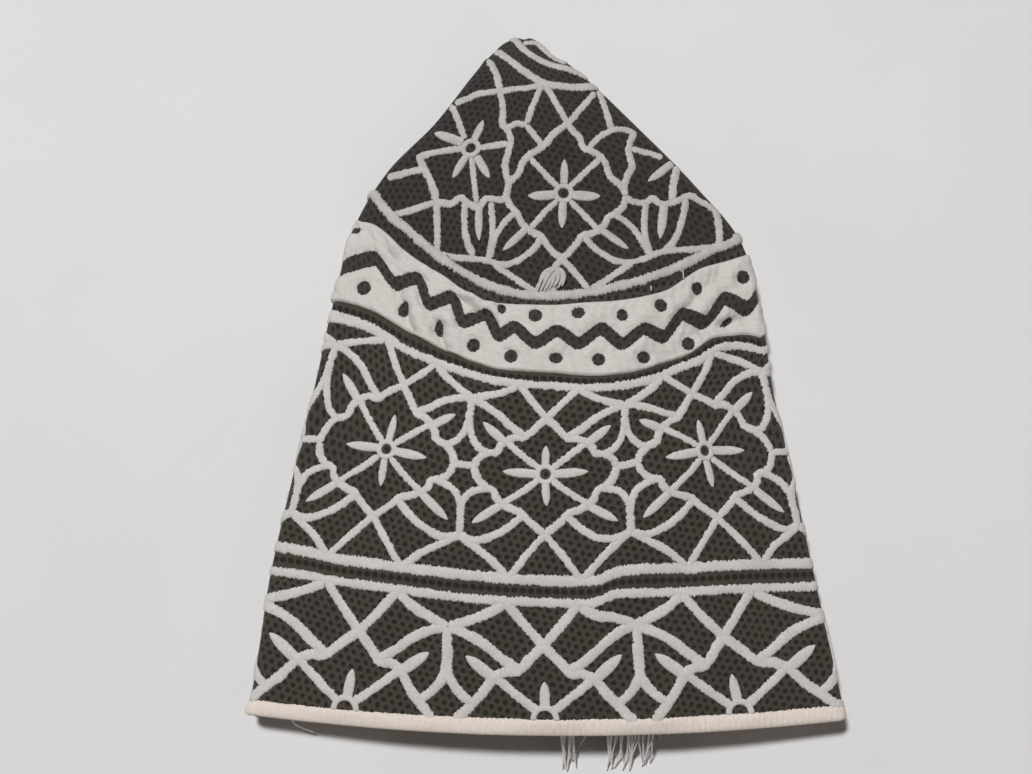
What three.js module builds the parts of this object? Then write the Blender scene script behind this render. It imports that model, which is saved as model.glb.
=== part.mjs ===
// An embroidered kumma cap, folded flat and lying on its side on a level surface.
// Millimetres, +Z up. The hem opens towards -Y, the tip of the folded crown points to +Y,
// and the origin lies on the surface under the middle of the cap.
//
// The cap is a cloth tube (the side wall) closed by a round crown, with a thick white binding
// sewn round the hem. Folded flat, its section is that of a paper bag with side gussets:
// a lower layer on the surface, an upper layer that bulges a little, and at each side a
// gusset that is tucked in between them.
import * as THREE from "three";

// ---------- driving dimensions ----------
const CLOTH = 1.6; // embroidered double cloth
const BINDING_THICK = 2.8; // rolled hem binding
const BINDING_HIGH = 4.8; // along the cloth, from the hem edge
const SEAM_GAP = 0.3; // between two sewn pieces
const WALL_HIGH = 135.3; // from the hem edge to the crown seam
const FULL_HIGH = 231; // from the hem edge to the tip of the crown
const FOLD_R = 2.2; // mid-cloth radius of the outer folds
const CREASE_R = 2.0; // mid-cloth radius of a gusset's inner crease
const TIP_FROM = 217; // from here the crown rounds off to its tip
const TIP_HALF = 9.2; // half width of the crown where the rounding starts
const INNER_END = 225; // the hollow ends here, inside the tip

// Sections of the folded cap, from the hem to the tip of the crown.
// high: distance along the cloth from the hem edge; xl, yl and xr, yr: the left and right fold;
// ym: the middle of the upper layer; top: height of the upper layer in the middle;
// tuck: depth of the side gussets; soft: 0 for a folded section, 1 for a plain rounded one.
const SECTIONS = [
  { high: 0, xl: -92.9, yl: -109.7, ym: -115.9, xr: 92.9, yr: -111.5, top: 20.0, tuck: 40, soft: 0 },
  { high: 4.8, xl: -91.6, yl: -105.4, ym: -111.1, xr: 92.4, yr: -107.0, top: 21.0, tuck: 40, soft: 0 },
  { high: 21.8, xl: -89.1, yl: -87.5, ym: -94.1, xr: 89.3, yr: -90.0, top: 23.0, tuck: 41, soft: 0 },
  { high: 42.8, xl: -86.4, yl: -66.2, ym: -73.1, xr: 85.3, yr: -68.8, top: 25.0, tuck: 43, soft: 0 },
  { high: 79.1, xl: -78.8, yl: -28.8, ym: -36.8, xr: 78.2, yr: -30.4, top: 27.0, tuck: 46, soft: 0 },
  { high: 95, xl: -73.2, yl: -2.6, ym: -20.9, xr: 73.5, yr: -6.0, top: 27.5, tuck: 49, soft: 0 },
  { high: 108.3, xl: -69.9, yl: 15.1, ym: -7.6, xr: 71.8, yr: 9.7, top: 27.0, tuck: 51, soft: 0 },
  { high: 135.3, xl: -62.5, yl: 45.6, ym: 19.4, xr: 65.4, yr: 40.1, top: 24.5, tuck: 51, soft: 0 },
  { high: 157, xl: -51.8, yl: 65.1, ym: 41.3, xr: 50.5, yr: 60.2, top: 22.5, tuck: 41, soft: 0 },
  { high: 179.7, xl: -36.2, yl: 82.0, ym: 63.8, xr: 32.7, yr: 79.5, top: 20.0, tuck: 26, soft: 0 },
  { high: 203.2, xl: -22.3, yl: 100.7, ym: 87.3, xr: 13.9, yr: 98.5, top: 16.5, tuck: 8, soft: 0.35 },
  { high: 217, xl: -15.7, yl: 110.0, ym: 101.6, xr: 2.7, yr: 109.0, top: 12.5, tuck: 3, soft: 1 },
  { high: 231, xl: -6.3, yl: 115.9, ym: 114.9, xr: -6.3, yr: 115.9, top: 8.0, tuck: 3, soft: 1 },
];

// Soft dents and swells of the upper layer: where they lie, how far they spread, how deep.
const DENTS = [
  { x: 56, y: 8, rx: 16, ry: 10, deep: -1.6 }, // pinch at the right end of the zigzag band
  { x: -40, y: 28, rx: 20, ry: 12, deep: -1.1 }, // slack of the band at the left
  { x: 4, y: 12, rx: 34, ry: 9, deep: 0.9 }, // the band stands proud in the middle
  { x: 30, y: -70, rx: 12, ry: 16, deep: -0.9 }, // hollow beside the lower stripe
  { x: -52, y: -60, rx: 26, ry: 22, deep: 0.7 },
  { x: 8, y: 52, rx: 22, ry: 16, deep: -0.9 }, // the crown sinks behind its seam
  { x: -60, y: -14, rx: 16, ry: 20, deep: -0.8 },
];

// Steps of the section: the straight runs and the bends of one half, from the middle
// of the lower layer round the gusset to the middle of the upper layer.
const STEPS = { lower: 6, fold: 5, gusset: 4, crease: 4, upper: 9 };

// Heights along the cloth at which each piece has a section.
const BINDING_ROWS = [0, 2.4, BINDING_HIGH];
const WALL_ROWS = [BINDING_HIGH + SEAM_GAP, 13, 22, 32, 43, 55, 67, 79, 88, 96, 104, 112, 120, 128, WALL_HIGH];
const CROWN_ROWS = [WALL_HIGH + SEAM_GAP, 144, 153, 162, 171, 180, 189, 197, 204, 210.5, 217, 221, 225];
const TIP_ROWS = [228, 230];

// ---------- the folded form ----------
// Smooth interpolation of one column of SECTIONS.
function column(key, high) {
  const n = SECTIONS.length;
  let i = 0;
  while (i < n - 2 && high > SECTIONS[i + 1].high) i++;
  const a = SECTIONS[i],
    b = SECTIONS[i + 1],
    step = b.high - a.high,
    t = (high - a.high) / step;
  const slope = (j) => {
    const p = SECTIONS[Math.max(j - 1, 0)],
      q = SECTIONS[Math.min(j + 1, n - 1)];
    return (q[key] - p[key]) / (q.high - p.high);
  };
  const t2 = t * t,
    t3 = t2 * t;
  return (
    (2 * t3 - 3 * t2 + 1) * a[key] +
    (t3 - 2 * t2 + t) * step * slope(i) +
    (3 * t2 - 2 * t3) * b[key] +
    (t3 - t2) * step * slope(i + 1)
  );
}

// Where a section lies: its middle, half width, and how it bends in plan.
function sectionAt(high) {
  const xl = column("xl", high),
    xr = column("xr", high);
  let half = (xr - xl) / 2;
  if (high > TIP_FROM) {
    const t = (high - TIP_FROM) / (FULL_HIGH - TIP_FROM);
    half = TIP_HALF * Math.sqrt(Math.max(0, 1 - t));
  }
  return {
    high,
    half,
    mid: (xl + xr) / 2,
    yl: column("yl", high),
    ym: column("ym", high),
    yr: column("yr", high),
    top: column("top", high),
    tuck: column("tuck", high),
    soft: Math.min(1, Math.max(0, column("soft", high))),
  };
}

// The bend of a section in plan: a curve through its left fold, middle and right fold.
function planY(sec, s) {
  return (
    (sec.yl * (1 - s) + sec.yr * (1 + s)) / 2 +
    (sec.ym - (sec.yl + sec.yr) / 2) * (1 - s * s)
  );
}

function dent(x, y) {
  let z = 0;
  for (const d of DENTS) {
    const r2 = ((x - d.x) / d.rx) ** 2 + ((y - d.y) / d.ry) ** 2;
    z += d.deep * Math.exp(-r2);
  }
  return z;
}

// Mid-cloth line of the right half of a section as [x, z, bulge], x from the middle.
// bulge is 1 on the upper layer, where the swell and the dents are added.
function halfLine(sec, thick) {
  const r = FOLD_R,
    c = CREASE_R,
    edge = Math.max(sec.half - thick / 2 - r, 0.4),
    inner = Math.max(sec.half - sec.tuck, 0.4),
    z0 = thick / 2,
    base = CLOTH / 2 - z0, // a thicker piece keeps its upper folds in line with the wall's
    zFold1 = z0 + r,
    zCrease = z0 + 2 * r + c + base,
    zFold2 = z0 + 3 * r + 2 * c + base,
    line = [];
  const run = (n, xa, xb, z, up) => {
    for (let i = 0; i < n; i++) line.push([xa + ((xb - xa) * i) / n, z, up]);
  };
  const bend = (n, cx, cz, rad, side, up) => {
    for (let i = 0; i < n; i++) {
      const a = -Math.PI / 2 + (Math.PI * i) / n;
      line.push([cx + side * rad * Math.cos(a), cz + rad * Math.sin(a), up]);
    }
  };
  run(STEPS.lower, 0, edge, z0, 0);
  bend(STEPS.fold, edge, zFold1, r, 1, 0);
  run(STEPS.gusset, edge, inner, z0 + 2 * r, 0);
  bend(STEPS.crease, inner, zCrease, c, -1, 0);
  run(STEPS.gusset, inner, edge, z0 + 2 * r + 2 * c + base, 0);
  bend(STEPS.fold, edge, zFold2, r, 1, 0);
  const zTop = z0 + 4 * r + 2 * c + base;
  for (let i = 0; i <= STEPS.upper; i++)
    line.push([edge * (1 - i / STEPS.upper), zTop, 1]);

  // A rounded section instead, for the stiff corner at the tip.
  const n = line.length - 1;
  let squash = 1;
  if (sec.high > TIP_FROM) squash = sec.half / TIP_HALF;
  const tall = (sec.top - thick) * squash,
    zc = thick / 2 + (sec.top - thick) / 2;
  const mixed = line.map(([x, z, up], i) => {
    const a = -Math.PI / 2 + (Math.PI * i) / n,
      ex = Math.max(sec.half - thick / 2, 0.3) * Math.cos(a),
      ez = zc + (tall / 2) * Math.sin(a);
    let lift = 0;
    if (up) {
      const s = Math.min(1, x / Math.max(edge, 1));
      lift = (sec.top - thick / 2 - zTop) * Math.pow(1 - Math.pow(s, 2.4), 1.5);
    }
    return [x + (ex - x) * sec.soft, z + lift + (ez - z - lift) * sec.soft, up * (1 - sec.soft)];
  });
  // Half way between the two forms the sides would draw in, so they are spread to the full width.
  const widest = Math.max(...mixed.map(([x]) => x)),
    spread = Math.max(sec.half - thick / 2, 0.3) / widest;
  return mixed.map(([x, z, up]) => [x * spread, z, up]);
}

// Both faces of the cloth for one section, as two closed rings of THREE.Vector3.
function ringsAt(high, thick) {
  const sec = sectionAt(high),
    right = halfLine(sec, thick),
    n = right.length,
    loop = [];
  for (let i = 0; i < n; i++) loop.push(right[i]);
  for (let i = n - 2; i > 0; i--) loop.push([-right[i][0], right[i][1], right[i][2]]);
  const m = loop.length,
    outer = [],
    inner = [];
  for (let i = 0; i < m; i++) {
    const [x, z, up] = loop[i],
      p = loop[(i + m - 1) % m],
      q = loop[(i + 1) % m],
      len = Math.hypot(q[0] - p[0], q[1] - p[1]) || 1,
      nx = (q[1] - p[1]) / len,
      nz = -(q[0] - p[0]) / len,
      swell = up * dent(sec.mid + x, planY(sec, x / sec.half)) * Math.min(1, (sec.half - Math.abs(x)) / 12);
    for (const [ring, side] of [
      [outer, 1],
      [inner, -1],
    ]) {
      const px = x + (side * nx * thick) / 2,
        pz = z + swell + (side * nz * thick) / 2,
        s = Math.min(1, Math.max(-1, px / sec.half));
      ring.push(new THREE.Vector3(sec.mid + px, planY(sec, s), Math.max(side > 0 ? 0 : 0.2, pz)));
    }
  }
  return { outer, inner, sec };
}

// ---------- closed cloth shells ----------
function shell(rows, thick, tipRows) {
  const vertices = [],
    faces = [],
    add = (v) => vertices.push(v.x, v.y, v.z) / 3 - 1;
  const rings = rows.map((h) => ringsAt(h, thick)),
    out = rings.map((r) => r.outer.map(add)),
    inn = rings.map((r) => r.inner.map(add)),
    m = out[0].length;
  const skin = (a, b, flip) => {
    for (let i = 0; i < m; i++) {
      const j = (i + 1) % m;
      if (flip) faces.push(a[i], b[j], b[i], a[i], a[j], b[j]);
      else faces.push(a[i], b[i], b[j], a[i], b[j], a[j]);
    }
  };
  const fan = (ring, tip, flip) => {
    for (let i = 0; i < m; i++) {
      const j = (i + 1) % m;
      if (flip) faces.push(ring[i], ring[j], tip);
      else faces.push(ring[i], tip, ring[j]);
    }
  };
  for (let k = 0; k + 1 < rows.length; k++) {
    skin(out[k], out[k + 1], false);
    skin(inn[k], inn[k + 1], true);
  }
  skin(inn[0], out[0], false); // the edge nearer the hem
  const last = rows.length - 1;
  if (!tipRows) {
    skin(out[last], inn[last], false); // the far edge
  } else {
    let from = out[last];
    for (const h of tipRows) {
      const to = ringsAt(h, thick).outer.map(add);
      skin(from, to, false);
      from = to;
    }
    const tip = sectionAt(FULL_HIGH),
      end = ringsAt(tipRows[tipRows.length - 1], thick),
      zMid = end.outer.reduce((sum, v) => sum + v.z, 0) / m;
    fan(from, add(new THREE.Vector3(tip.mid, (tip.yl + tip.ym) / 2, zMid)), false);
    const hollow = rings[last],
      centre = hollow.inner
        .reduce((sum, v) => sum.add(v), new THREE.Vector3())
        .divideScalar(m);
    fan(inn[last], add(centre), true);
  }
  const g = new THREE.BufferGeometry();
  g.setAttribute("position", new THREE.Float32BufferAttribute(vertices, 3));
  g.setIndex(faces);
  g.computeVertexNormals();
  return g;
}

const cloth = new THREE.MeshStandardMaterial({ color: 0x4a463e, roughness: 0.9, metalness: 0 });
const crownCloth = new THREE.MeshStandardMaterial({ color: 0x46423b, roughness: 0.9, metalness: 0 });
const thread = new THREE.MeshStandardMaterial({ color: 0xd8d2ca, roughness: 0.8, metalness: 0 });

const cap = new THREE.Group();
const pieces = [
  ["hem_binding", shell(BINDING_ROWS, BINDING_THICK, null), thread],
  ["side_wall", shell(WALL_ROWS, CLOTH, null), cloth],
  ["crown", shell(CROWN_ROWS, CLOTH, TIP_ROWS), crownCloth],
];
for (const [name, geometry, material] of pieces) {
  const mesh = new THREE.Mesh(geometry, material);
  mesh.name = name;
  cap.add(mesh);
}

export default cap;
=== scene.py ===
import math

import bpy
import numpy as np
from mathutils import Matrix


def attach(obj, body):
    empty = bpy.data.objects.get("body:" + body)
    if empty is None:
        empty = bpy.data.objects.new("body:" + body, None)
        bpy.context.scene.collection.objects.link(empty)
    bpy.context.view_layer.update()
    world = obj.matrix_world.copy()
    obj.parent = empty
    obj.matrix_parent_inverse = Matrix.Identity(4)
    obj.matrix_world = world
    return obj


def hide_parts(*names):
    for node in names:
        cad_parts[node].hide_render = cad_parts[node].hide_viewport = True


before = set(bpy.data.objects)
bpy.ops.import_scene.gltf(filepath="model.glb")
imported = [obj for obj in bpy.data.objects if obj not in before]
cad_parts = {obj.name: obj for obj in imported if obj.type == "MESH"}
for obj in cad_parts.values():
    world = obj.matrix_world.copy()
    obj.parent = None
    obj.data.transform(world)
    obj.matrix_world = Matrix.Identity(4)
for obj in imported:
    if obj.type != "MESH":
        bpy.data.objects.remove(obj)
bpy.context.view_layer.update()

rng = np.random.default_rng(71)

# ---------------------------------------------------------------- the folded form
CLOTH = 1.6
BINDING_HIGH = 4.8
WALL_HIGH = 135.3
FULL_HIGH = 231.0
FOLD_R = 2.2
CREASE_R = 2.0
TIP_FROM = 217.0
TIP_HALF = 9.2
LOW_LIFT = 0.55  # the lower layer's cloth stands on its embroidery
PX = 0.331  # millimetres to a pixel of the view, on the floor at its middle
PXU = 0.3145  # the same on the upper layer

KEYS = ("high", "xl", "yl", "ym", "xr", "yr", "top", "tuck", "soft")
SECTIONS = np.array([
    (0, -92.9, -109.7, -115.9, 92.9, -111.5, 20.0, 40, 0),
    (4.8, -91.6, -105.4, -111.1, 92.4, -107.0, 21.0, 40, 0),
    (21.8, -89.1, -87.5, -94.1, 89.3, -90.0, 23.0, 41, 0),
    (42.8, -86.4, -66.2, -73.1, 85.3, -68.8, 25.0, 43, 0),
    (79.1, -78.8, -28.8, -36.8, 78.2, -30.4, 27.0, 46, 0),
    (95.0, -73.2, -2.6, -20.9, 73.5, -6.0, 27.5, 49, 0),
    (108.3, -69.9, 15.1, -7.6, 71.8, 9.7, 27.0, 51, 0),
    (135.3, -62.5, 45.6, 19.4, 65.4, 40.1, 24.5, 51, 0),
    (157.0, -51.8, 65.1, 41.3, 50.5, 60.2, 22.5, 41, 0),
    (179.7, -36.2, 82.0, 63.8, 32.7, 79.5, 20.0, 26, 0),
    (203.2, -22.3, 100.7, 87.3, 13.9, 98.5, 16.5, 8, 0.35),
    (217.0, -15.7, 110.0, 101.6, 2.7, 109.0, 12.5, 3, 1),
    (231.0, -6.3, 115.9, 114.9, -6.3, 115.9, 8.0, 3, 1),
], dtype=float)

# x, y, rx, ry, depth of the soft dents and swells of the upper layer
DENTS = [
    (56, 8, 16, 10, -1.6), (-40, 28, 20, 12, -1.1), (4, 12, 34, 9, 0.9), (30, -70, 12, 16, -0.9),
    (-52, -60, 26, 22, 0.7), (8, 52, 22, 16, -0.9), (-60, -14, 16, 20, -0.8),
]

# steps of one half of a section, and the coarse steps that the rounded tip goes by
FINE = {"lower": 40, "fold1": 8, "gusset1": 14, "crease": 6, "gusset2": 14, "fold2": 8, "upper": 76}
COARSE = (("lower", 6), ("fold1", 5), ("gusset1", 4), ("crease", 4), ("gusset2", 4), ("fold2", 5), ("upper", 9))


def columns(high):
    """The section table at each height, smoothly interpolated."""
    high = np.asarray(high, float)
    h = SECTIONS[:, 0]
    n = len(h)
    i = np.clip(np.searchsorted(h, high, side="left") - 1, 0, n - 2)
    out = {}
    step = h[i + 1] - h[i]
    t = (high - h[i]) / step
    for k, key in enumerate(KEYS[1:], 1):
        v = SECTIONS[:, k]
        lo, hi = np.maximum(np.arange(n) - 1, 0), np.minimum(np.arange(n) + 1, n - 1)
        m = (v[hi] - v[lo]) / (h[hi] - h[lo])
        out[key] = (
            (2 * t**3 - 3 * t**2 + 1) * v[i] + (t**3 - 2 * t**2 + t) * step * m[i]
            + (3 * t**2 - 2 * t**3) * v[i + 1] + (t**3 - t**2) * step * m[i + 1]
        )
    half = (out["xr"] - out["xl"]) / 2
    tip = np.clip((high - TIP_FROM) / (FULL_HIGH - TIP_FROM), 0, 1)
    out["half"] = np.where(high > TIP_FROM, TIP_HALF * np.sqrt(np.maximum(1 - tip, 0)), half)
    out["mid"] = (out["xl"] + out["xr"]) / 2
    out["soft"] = np.clip(out["soft"], 0, 1)
    return out


def plan_y(c, s):
    return (c["yl"] * (1 - s) + c["yr"] * (1 + s)) / 2 + (c["ym"] - (c["yl"] + c["yr"]) / 2) * (1 - s * s)


def half_lines(high):
    """Mid-cloth lines of the right half of many sections: x, z and the bulge share, one row each."""
    c = {k: v[:, None] for k, v in columns(high).items()}
    r, cr, th = FOLD_R, CREASE_R, CLOTH
    edge = np.maximum(c["half"] - th / 2 - r, 0.4)
    inner = np.maximum(c["half"] - c["tuck"], 0.4)
    z0 = th / 2
    z_top = z0 + 4 * r + 2 * cr
    xs, zs, ups, idx = [], [], [], []
    start = 0
    one = np.ones_like(edge)
    for name, count in COARSE:
        n = FINE[name]
        u = (np.arange(n + (1 if name == "upper" else 0)) / n)[None, :]
        a = -math.pi / 2 + math.pi * u
        if name == "lower":
            x, z = edge * u, z0 * one * (u * 0 + 1)
        elif name == "fold1":
            x, z = edge + r * np.cos(a), one * (z0 + r + r * np.sin(a))
        elif name == "gusset1":
            x, z = edge + (inner - edge) * u, one * (z0 + 2 * r + 0 * u)
        elif name == "crease":
            x, z = inner - cr * np.cos(a), one * (z0 + 2 * r + cr + cr * np.sin(a))
        elif name == "gusset2":
            x, z = inner + (edge - inner) * u, one * (z0 + 2 * r + 2 * cr + 0 * u)
        elif name == "fold2":
            x, z = edge + r * np.cos(a), one * (z0 + 3 * r + 2 * cr + r * np.sin(a))
        else:
            x, z = edge * (1 - u), one * (z_top + 0 * u)
        xs.append(x)
        zs.append(z)
        ups.append(one * (0 * u + (1.0 if name == "upper" else 0.0)))
        idx.append((start + count * u) * one)
        start += count
    x, z, up, k = (np.concatenate(v, axis=1) for v in (xs, zs, ups, idx))
    squash = np.where(high[:, None] > TIP_FROM, c["half"] / TIP_HALF, 1.0)
    tall = (c["top"] - th) * squash
    a = -math.pi / 2 + math.pi * k / start
    ex = np.maximum(c["half"] - th / 2, 0.3) * np.cos(a)
    ez = th / 2 + (c["top"] - th) / 2 + tall / 2 * np.sin(a)
    s = np.minimum(1, x / np.maximum(edge, 1))
    lift = up * (c["top"] - th / 2 - z_top) * np.power(np.maximum(1 - np.power(np.maximum(s, 0), 2.4), 0), 1.5)
    mx = x + (ex - x) * c["soft"]
    mz = z + lift + (ez - z - lift) * c["soft"]
    spread = np.maximum(c["half"] - th / 2, 0.3) / mx.max(axis=1, keepdims=True)
    return mx * spread, mz, up * (1 - c["soft"])


def smooth(x, a, b):
    t = np.clip((x - a) / (b - a), 0, 1)
    return t * t * (3 - 2 * t)


def grid(high):
    """The outer and inner faces of the cloth at each height. Column 0 and the last one are the middle of
    the lower layer, the middle column is the middle of the upper layer, and x grows along it."""
    high = np.asarray(high, float)
    c = {k: v[:, None] for k, v in columns(high).items()}
    x, z, up = half_lines(high)
    x, z, up = (
        np.concatenate([sign * v, v[:, ::-1][:, 1:]], axis=1)
        for v, sign in ((x, -1), (z, 1), (up, 1))
    )
    p = np.roll(x, 1, axis=1), np.roll(z, 1, axis=1)
    q = np.roll(x, -1, axis=1), np.roll(z, -1, axis=1)
    dx, dz = q[0] - p[0], q[1] - p[1]
    dx[:, 0] = dx[:, -1] = -1.0
    dz[:, 0] = dz[:, -1] = 0.0
    n = np.hypot(dx, dz)
    n[n == 0] = 1
    nx, nz = -dz / n, dx / n
    yy = plan_y(c, np.clip(x / c["half"], -1, 1))
    swell = np.zeros_like(x)
    for dxx, dyy, rx, ry, deep in DENTS:
        swell += deep * np.exp(-(((c["mid"] + x - dxx) / rx) ** 2 + ((yy - dyy) / ry) ** 2))
    swell *= up * np.minimum(1, (c["half"] - np.abs(x)) / 12)
    faces = []
    for side in (1, -1):
        px = x + side * nx * CLOTH / 2
        pz = z + swell + side * nz * CLOTH / 2
        s = np.clip(px / c["half"], -1, 1)
        floor = LOW_LIFT if side > 0 else LOW_LIFT + 0.6
        faces.append(np.stack([c["mid"] + px, plan_y(c, s), np.maximum(floor, pz)], axis=2))
    return faces[0], faces[1], up


def lengths(p):
    """Signed length along each row of the outer face, from the middle of the upper layer."""
    d = np.linalg.norm(np.diff(p, axis=1), axis=2)
    run = np.concatenate([np.zeros((len(p), 1)), np.cumsum(d, axis=1)], axis=1)
    return run - run[:, p.shape[1] // 2][:, None]


def unit(v):
    n = np.linalg.norm(v, axis=-1, keepdims=True)
    return v / np.maximum(n, 1e-9)


def grid_normals(p):
    """Outward normals of a face grid whose first and last columns are the same place."""
    along = np.gradient(p, axis=0)
    ring = p[:, :-1]
    across = np.roll(ring, -1, axis=1) - np.roll(ring, 1, axis=1)
    across = np.concatenate([across, across[:, :1]], axis=1)
    return unit(np.cross(across, along))


# ---------------------------------------------------------------- the camera
LENS, SENSOR = 50.0, 36.0
FOCAL = 1032 * LENS / SENSOR
TILT = math.radians(80)  # the view's angle above the horizon
RANGE = FOCAL * PX
AIM = np.array([-9.04, -5.05, 0.0])
EYE = AIM + RANGE * np.array([0.0, -math.cos(TILT), math.sin(TILT)])
LOOK = unit(AIM - EYE)
UP = np.cross([1.0, 0, 0], LOOK)


def unproject(px, py, z):
    d = LOOK + np.outer((px - 516) / FOCAL, [1.0, 0, 0]) + np.outer((387 - py) / FOCAL, UP)
    return EYE + d * ((z - EYE[2]) / d[:, 2])[:, None]


# ---------------------------------------------------------------- wrinkles and slack
def seg_dist(h, l, a, b):
    """Distance from points to the segment a-b, and the share along it; places are (high, length)."""
    d = np.array(b, float) - np.array(a, float)
    t = np.clip(((h - a[0]) * d[0] + (l - a[1]) * d[1]) / max(float(d @ d), 1e-9), 0, 1)
    return np.hypot(h - a[0] - t * d[0], l - a[1] - t * d[1]), t


class Form:
    """The outer face as a function of height and signed length along the section."""

    def __init__(self, step=0.6):
        self.h = np.arange(0, 230.41, step)
        self.step = step
        self.p, _, self.up = grid(self.h)
        self.l = lengths(self.p)
        self.n = grid_normals(self.p)
        self.mid = self.p.shape[1] // 2

    def row(self, high):
        f = np.clip(np.asarray(high, float) / self.step, 0, len(self.h) - 1.001)
        i = f.astype(int)
        return i, f - i

    def reach(self, high):
        i, f = self.row(high)
        return (1 - f) * self.l[i, -1] + f * self.l[i + 1, -1]

    def find(self, table, i, f, value, lo, hi):
        lo = np.full(i.shape, lo)
        hi = np.full(i.shape, hi)
        while (hi - lo).max() > 1:
            m = (lo + hi) // 2
            v = (1 - f) * table[i, m] + f * table[i + 1, m]
            up = v <= value
            lo, hi = np.where(up, m, lo), np.where(up, hi, m)
        a = (1 - f) * table[i, lo] + f * table[i + 1, lo]
        b = (1 - f) * table[i, hi] + f * table[i + 1, hi]
        return lo, np.clip((value - a) / np.maximum(b - a, 1e-9), 0, 1)

    def at(self, high, length):
        high, length = np.broadcast_arrays(np.asarray(high, float), np.asarray(length, float))
        i, f = self.row(high)
        full = (1 - f) * self.l[i, -1] + f * self.l[i + 1, -1]
        length = (length + full) % (2 * full) - full
        j, g = self.find(self.l, i, f, length, 0, self.l.shape[1] - 1)
        w = [((1 - f) * (1 - g))[..., None], (f * (1 - g))[..., None], ((1 - f) * g)[..., None], (f * g)[..., None]]
        idx = [(i, j), (i + 1, j), (i, j + 1), (i + 1, j + 1)]
        p = sum(w[k] * self.p[idx[k]] for k in range(4))
        n = unit(sum(w[k] * self.n[idx[k]] for k in range(4)))
        return p, n

    def from_view(self, px, py):
        """(height, length) of the upper face under pixels of the view; past the side folds it runs on round them."""
        px, py = np.asarray(px, float), np.asarray(py, float)
        z = np.full(px.shape, 20.0)
        side = FINE["upper"] + FINE["fold2"] // 2
        lo_c, hi_c = self.mid - side, self.mid + side
        for _ in range(5):
            spot = unproject(px, py, z)
            lo, hi = np.zeros(px.shape), np.full(px.shape, 229.0)
            for _ in range(26):
                m = (lo + hi) / 2
                c = columns(m)
                s = np.clip((spot[:, 0] - c["mid"]) / c["half"], -1.05, 1.05)
                up = plan_y(c, s) <= spot[:, 1]
                lo, hi = np.where(up, m, lo), np.where(up, hi, m)
            high = (lo + hi) / 2
            i, f = self.row(high)
            xs = self.p[..., 0]
            xa = (1 - f) * xs[i, lo_c] + f * xs[i + 1, lo_c]
            xb = (1 - f) * xs[i, hi_c] + f * xs[i + 1, hi_c]
            x = np.clip(spot[:, 0], xa + 0.02, xb - 0.02)
            over = spot[:, 0] - x
            j, g = self.find(xs, i, f, x, lo_c, hi_c)
            pick = lambda t: ((1 - f) * ((1 - g) * t[i, j] + g * t[i, j + 1]) + f * ((1 - g) * t[i + 1, j] + g * t[i + 1, j + 1]))
            length = pick(self.l) + over
            z = pick(self.p[..., 2])
        return high, length


form = Form()

# Ridges (+) and hollows (-) of the slack cloth, as seen: from, to, half width and height in millimetres.
WRINKLES = [
    (447, 262, 474, 296, 1.6, 1.3), (474, 296, 482, 308, 1.6, 1.6), (460, 298, 476, 312, 1.4, -1.2),
    (486, 296, 494, 312, 1.6, 1.1), (482, 312, 498, 320, 1.5, -0.9), (398, 292, 412, 330, 2.2, -1.3),
    (414, 300, 424, 336, 2.4, 1.2), (432, 312, 446, 348, 2.0, -1.3), (448, 322, 458, 350, 2.4, 1.1),
    (424, 312, 452, 320, 1.6, 0.8), (470, 318, 520, 350, 2.4, 0.7), (380, 300, 392, 322, 2.8, 0.9),
    (418, 268, 446, 288, 2.4, 1.0), (432, 284, 452, 282, 1.8, -0.8), (396, 246, 410, 258, 2.0, 1.0),
    (404, 256, 416, 266, 1.8, -0.8), (352, 250, 372, 300, 3.6, 0.7), (340, 290, 364, 304, 2.6, 0.7),
    (700, 330, 758, 318, 2.4, -1.5), (702, 316, 756, 303, 3.0, 0.9), (696, 342, 760, 331, 3.0, 0.9),
    (640, 318, 690, 296, 2.6, 0.7), (706, 300, 738, 268, 3.2, 0.8), (690, 300, 720, 280, 2.2, -0.8),
    (662, 330, 700, 308, 2.2, 0.6), (722, 286, 748, 290, 2.2, -0.6), (520, 330, 560, 344, 2.6, 0.4),
    (604, 580, 612, 600, 3.0, -0.5), (590, 560, 604, 640, 6.0, 0.5), (616, 560, 630, 640, 6.0, -0.4),
    (500, 255, 560, 262, 9.0, -0.7), (600, 250, 680, 240, 8.0, -0.5), (420, 240, 470, 262, 6.0, -0.6),
    (470, 120, 500, 210, 12.0, -0.5), (590, 120, 620, 200, 10.0, 0.5), (330, 400, 350, 470, 10.0, 0.6),
    (455, 420, 475, 520, 14.0, -0.5), (620, 420, 640, 520, 14.0, 0.45), (760, 430, 770, 520, 9.0, 0.6),
    (300, 620, 330, 680, 14.0, 0.6), (440, 640, 460, 690, 14.0, -0.5), (640, 640, 660, 700, 14.0, 0.5),
    (780, 620, 800, 690, 12.0, -0.5), (380, 230, 420, 262, 4.0, 0.5), (650, 262, 720, 236, 4.0, 0.6),
]


def wrinkle_table():
    out = []
    for x0, y0, x1, y1, wide, tall in WRINKLES:
        h, l = form.from_view([x0, x1], [y0, y1])
        out.append(((h[0], l[0]), (h[1], l[1]), wide, tall))
    return out


FOLDS = wrinkle_table()
WAVES = [(0.021, 0.013, 0.4, 0.34), (-0.016, 0.029, 2.1, 0.28), (0.043, -0.034, 1.2, 0.16), (0.075, 0.052, 4.4, 0.1), (-0.11, 0.07, 0.9, 0.06)]


def slack(high, length, up):
    """Height of the wrinkles over the smooth form, along its normal."""
    z = np.zeros_like(length)
    for a, b, wide, tall in FOLDS:
        d, t = seg_dist(high, length, a, b)
        z += tall * np.exp(-((d / wide) ** 2))
    for kh, kl, phase, tall in WAVES:
        z += tall * np.sin(2 * math.pi * (kh * high + kl * length) + phase)
    side = np.abs(length) - 100
    return z * up * smooth(-side, 12, 42) * smooth(high, 0, 5) * smooth(231 - high, 6, 26)


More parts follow.
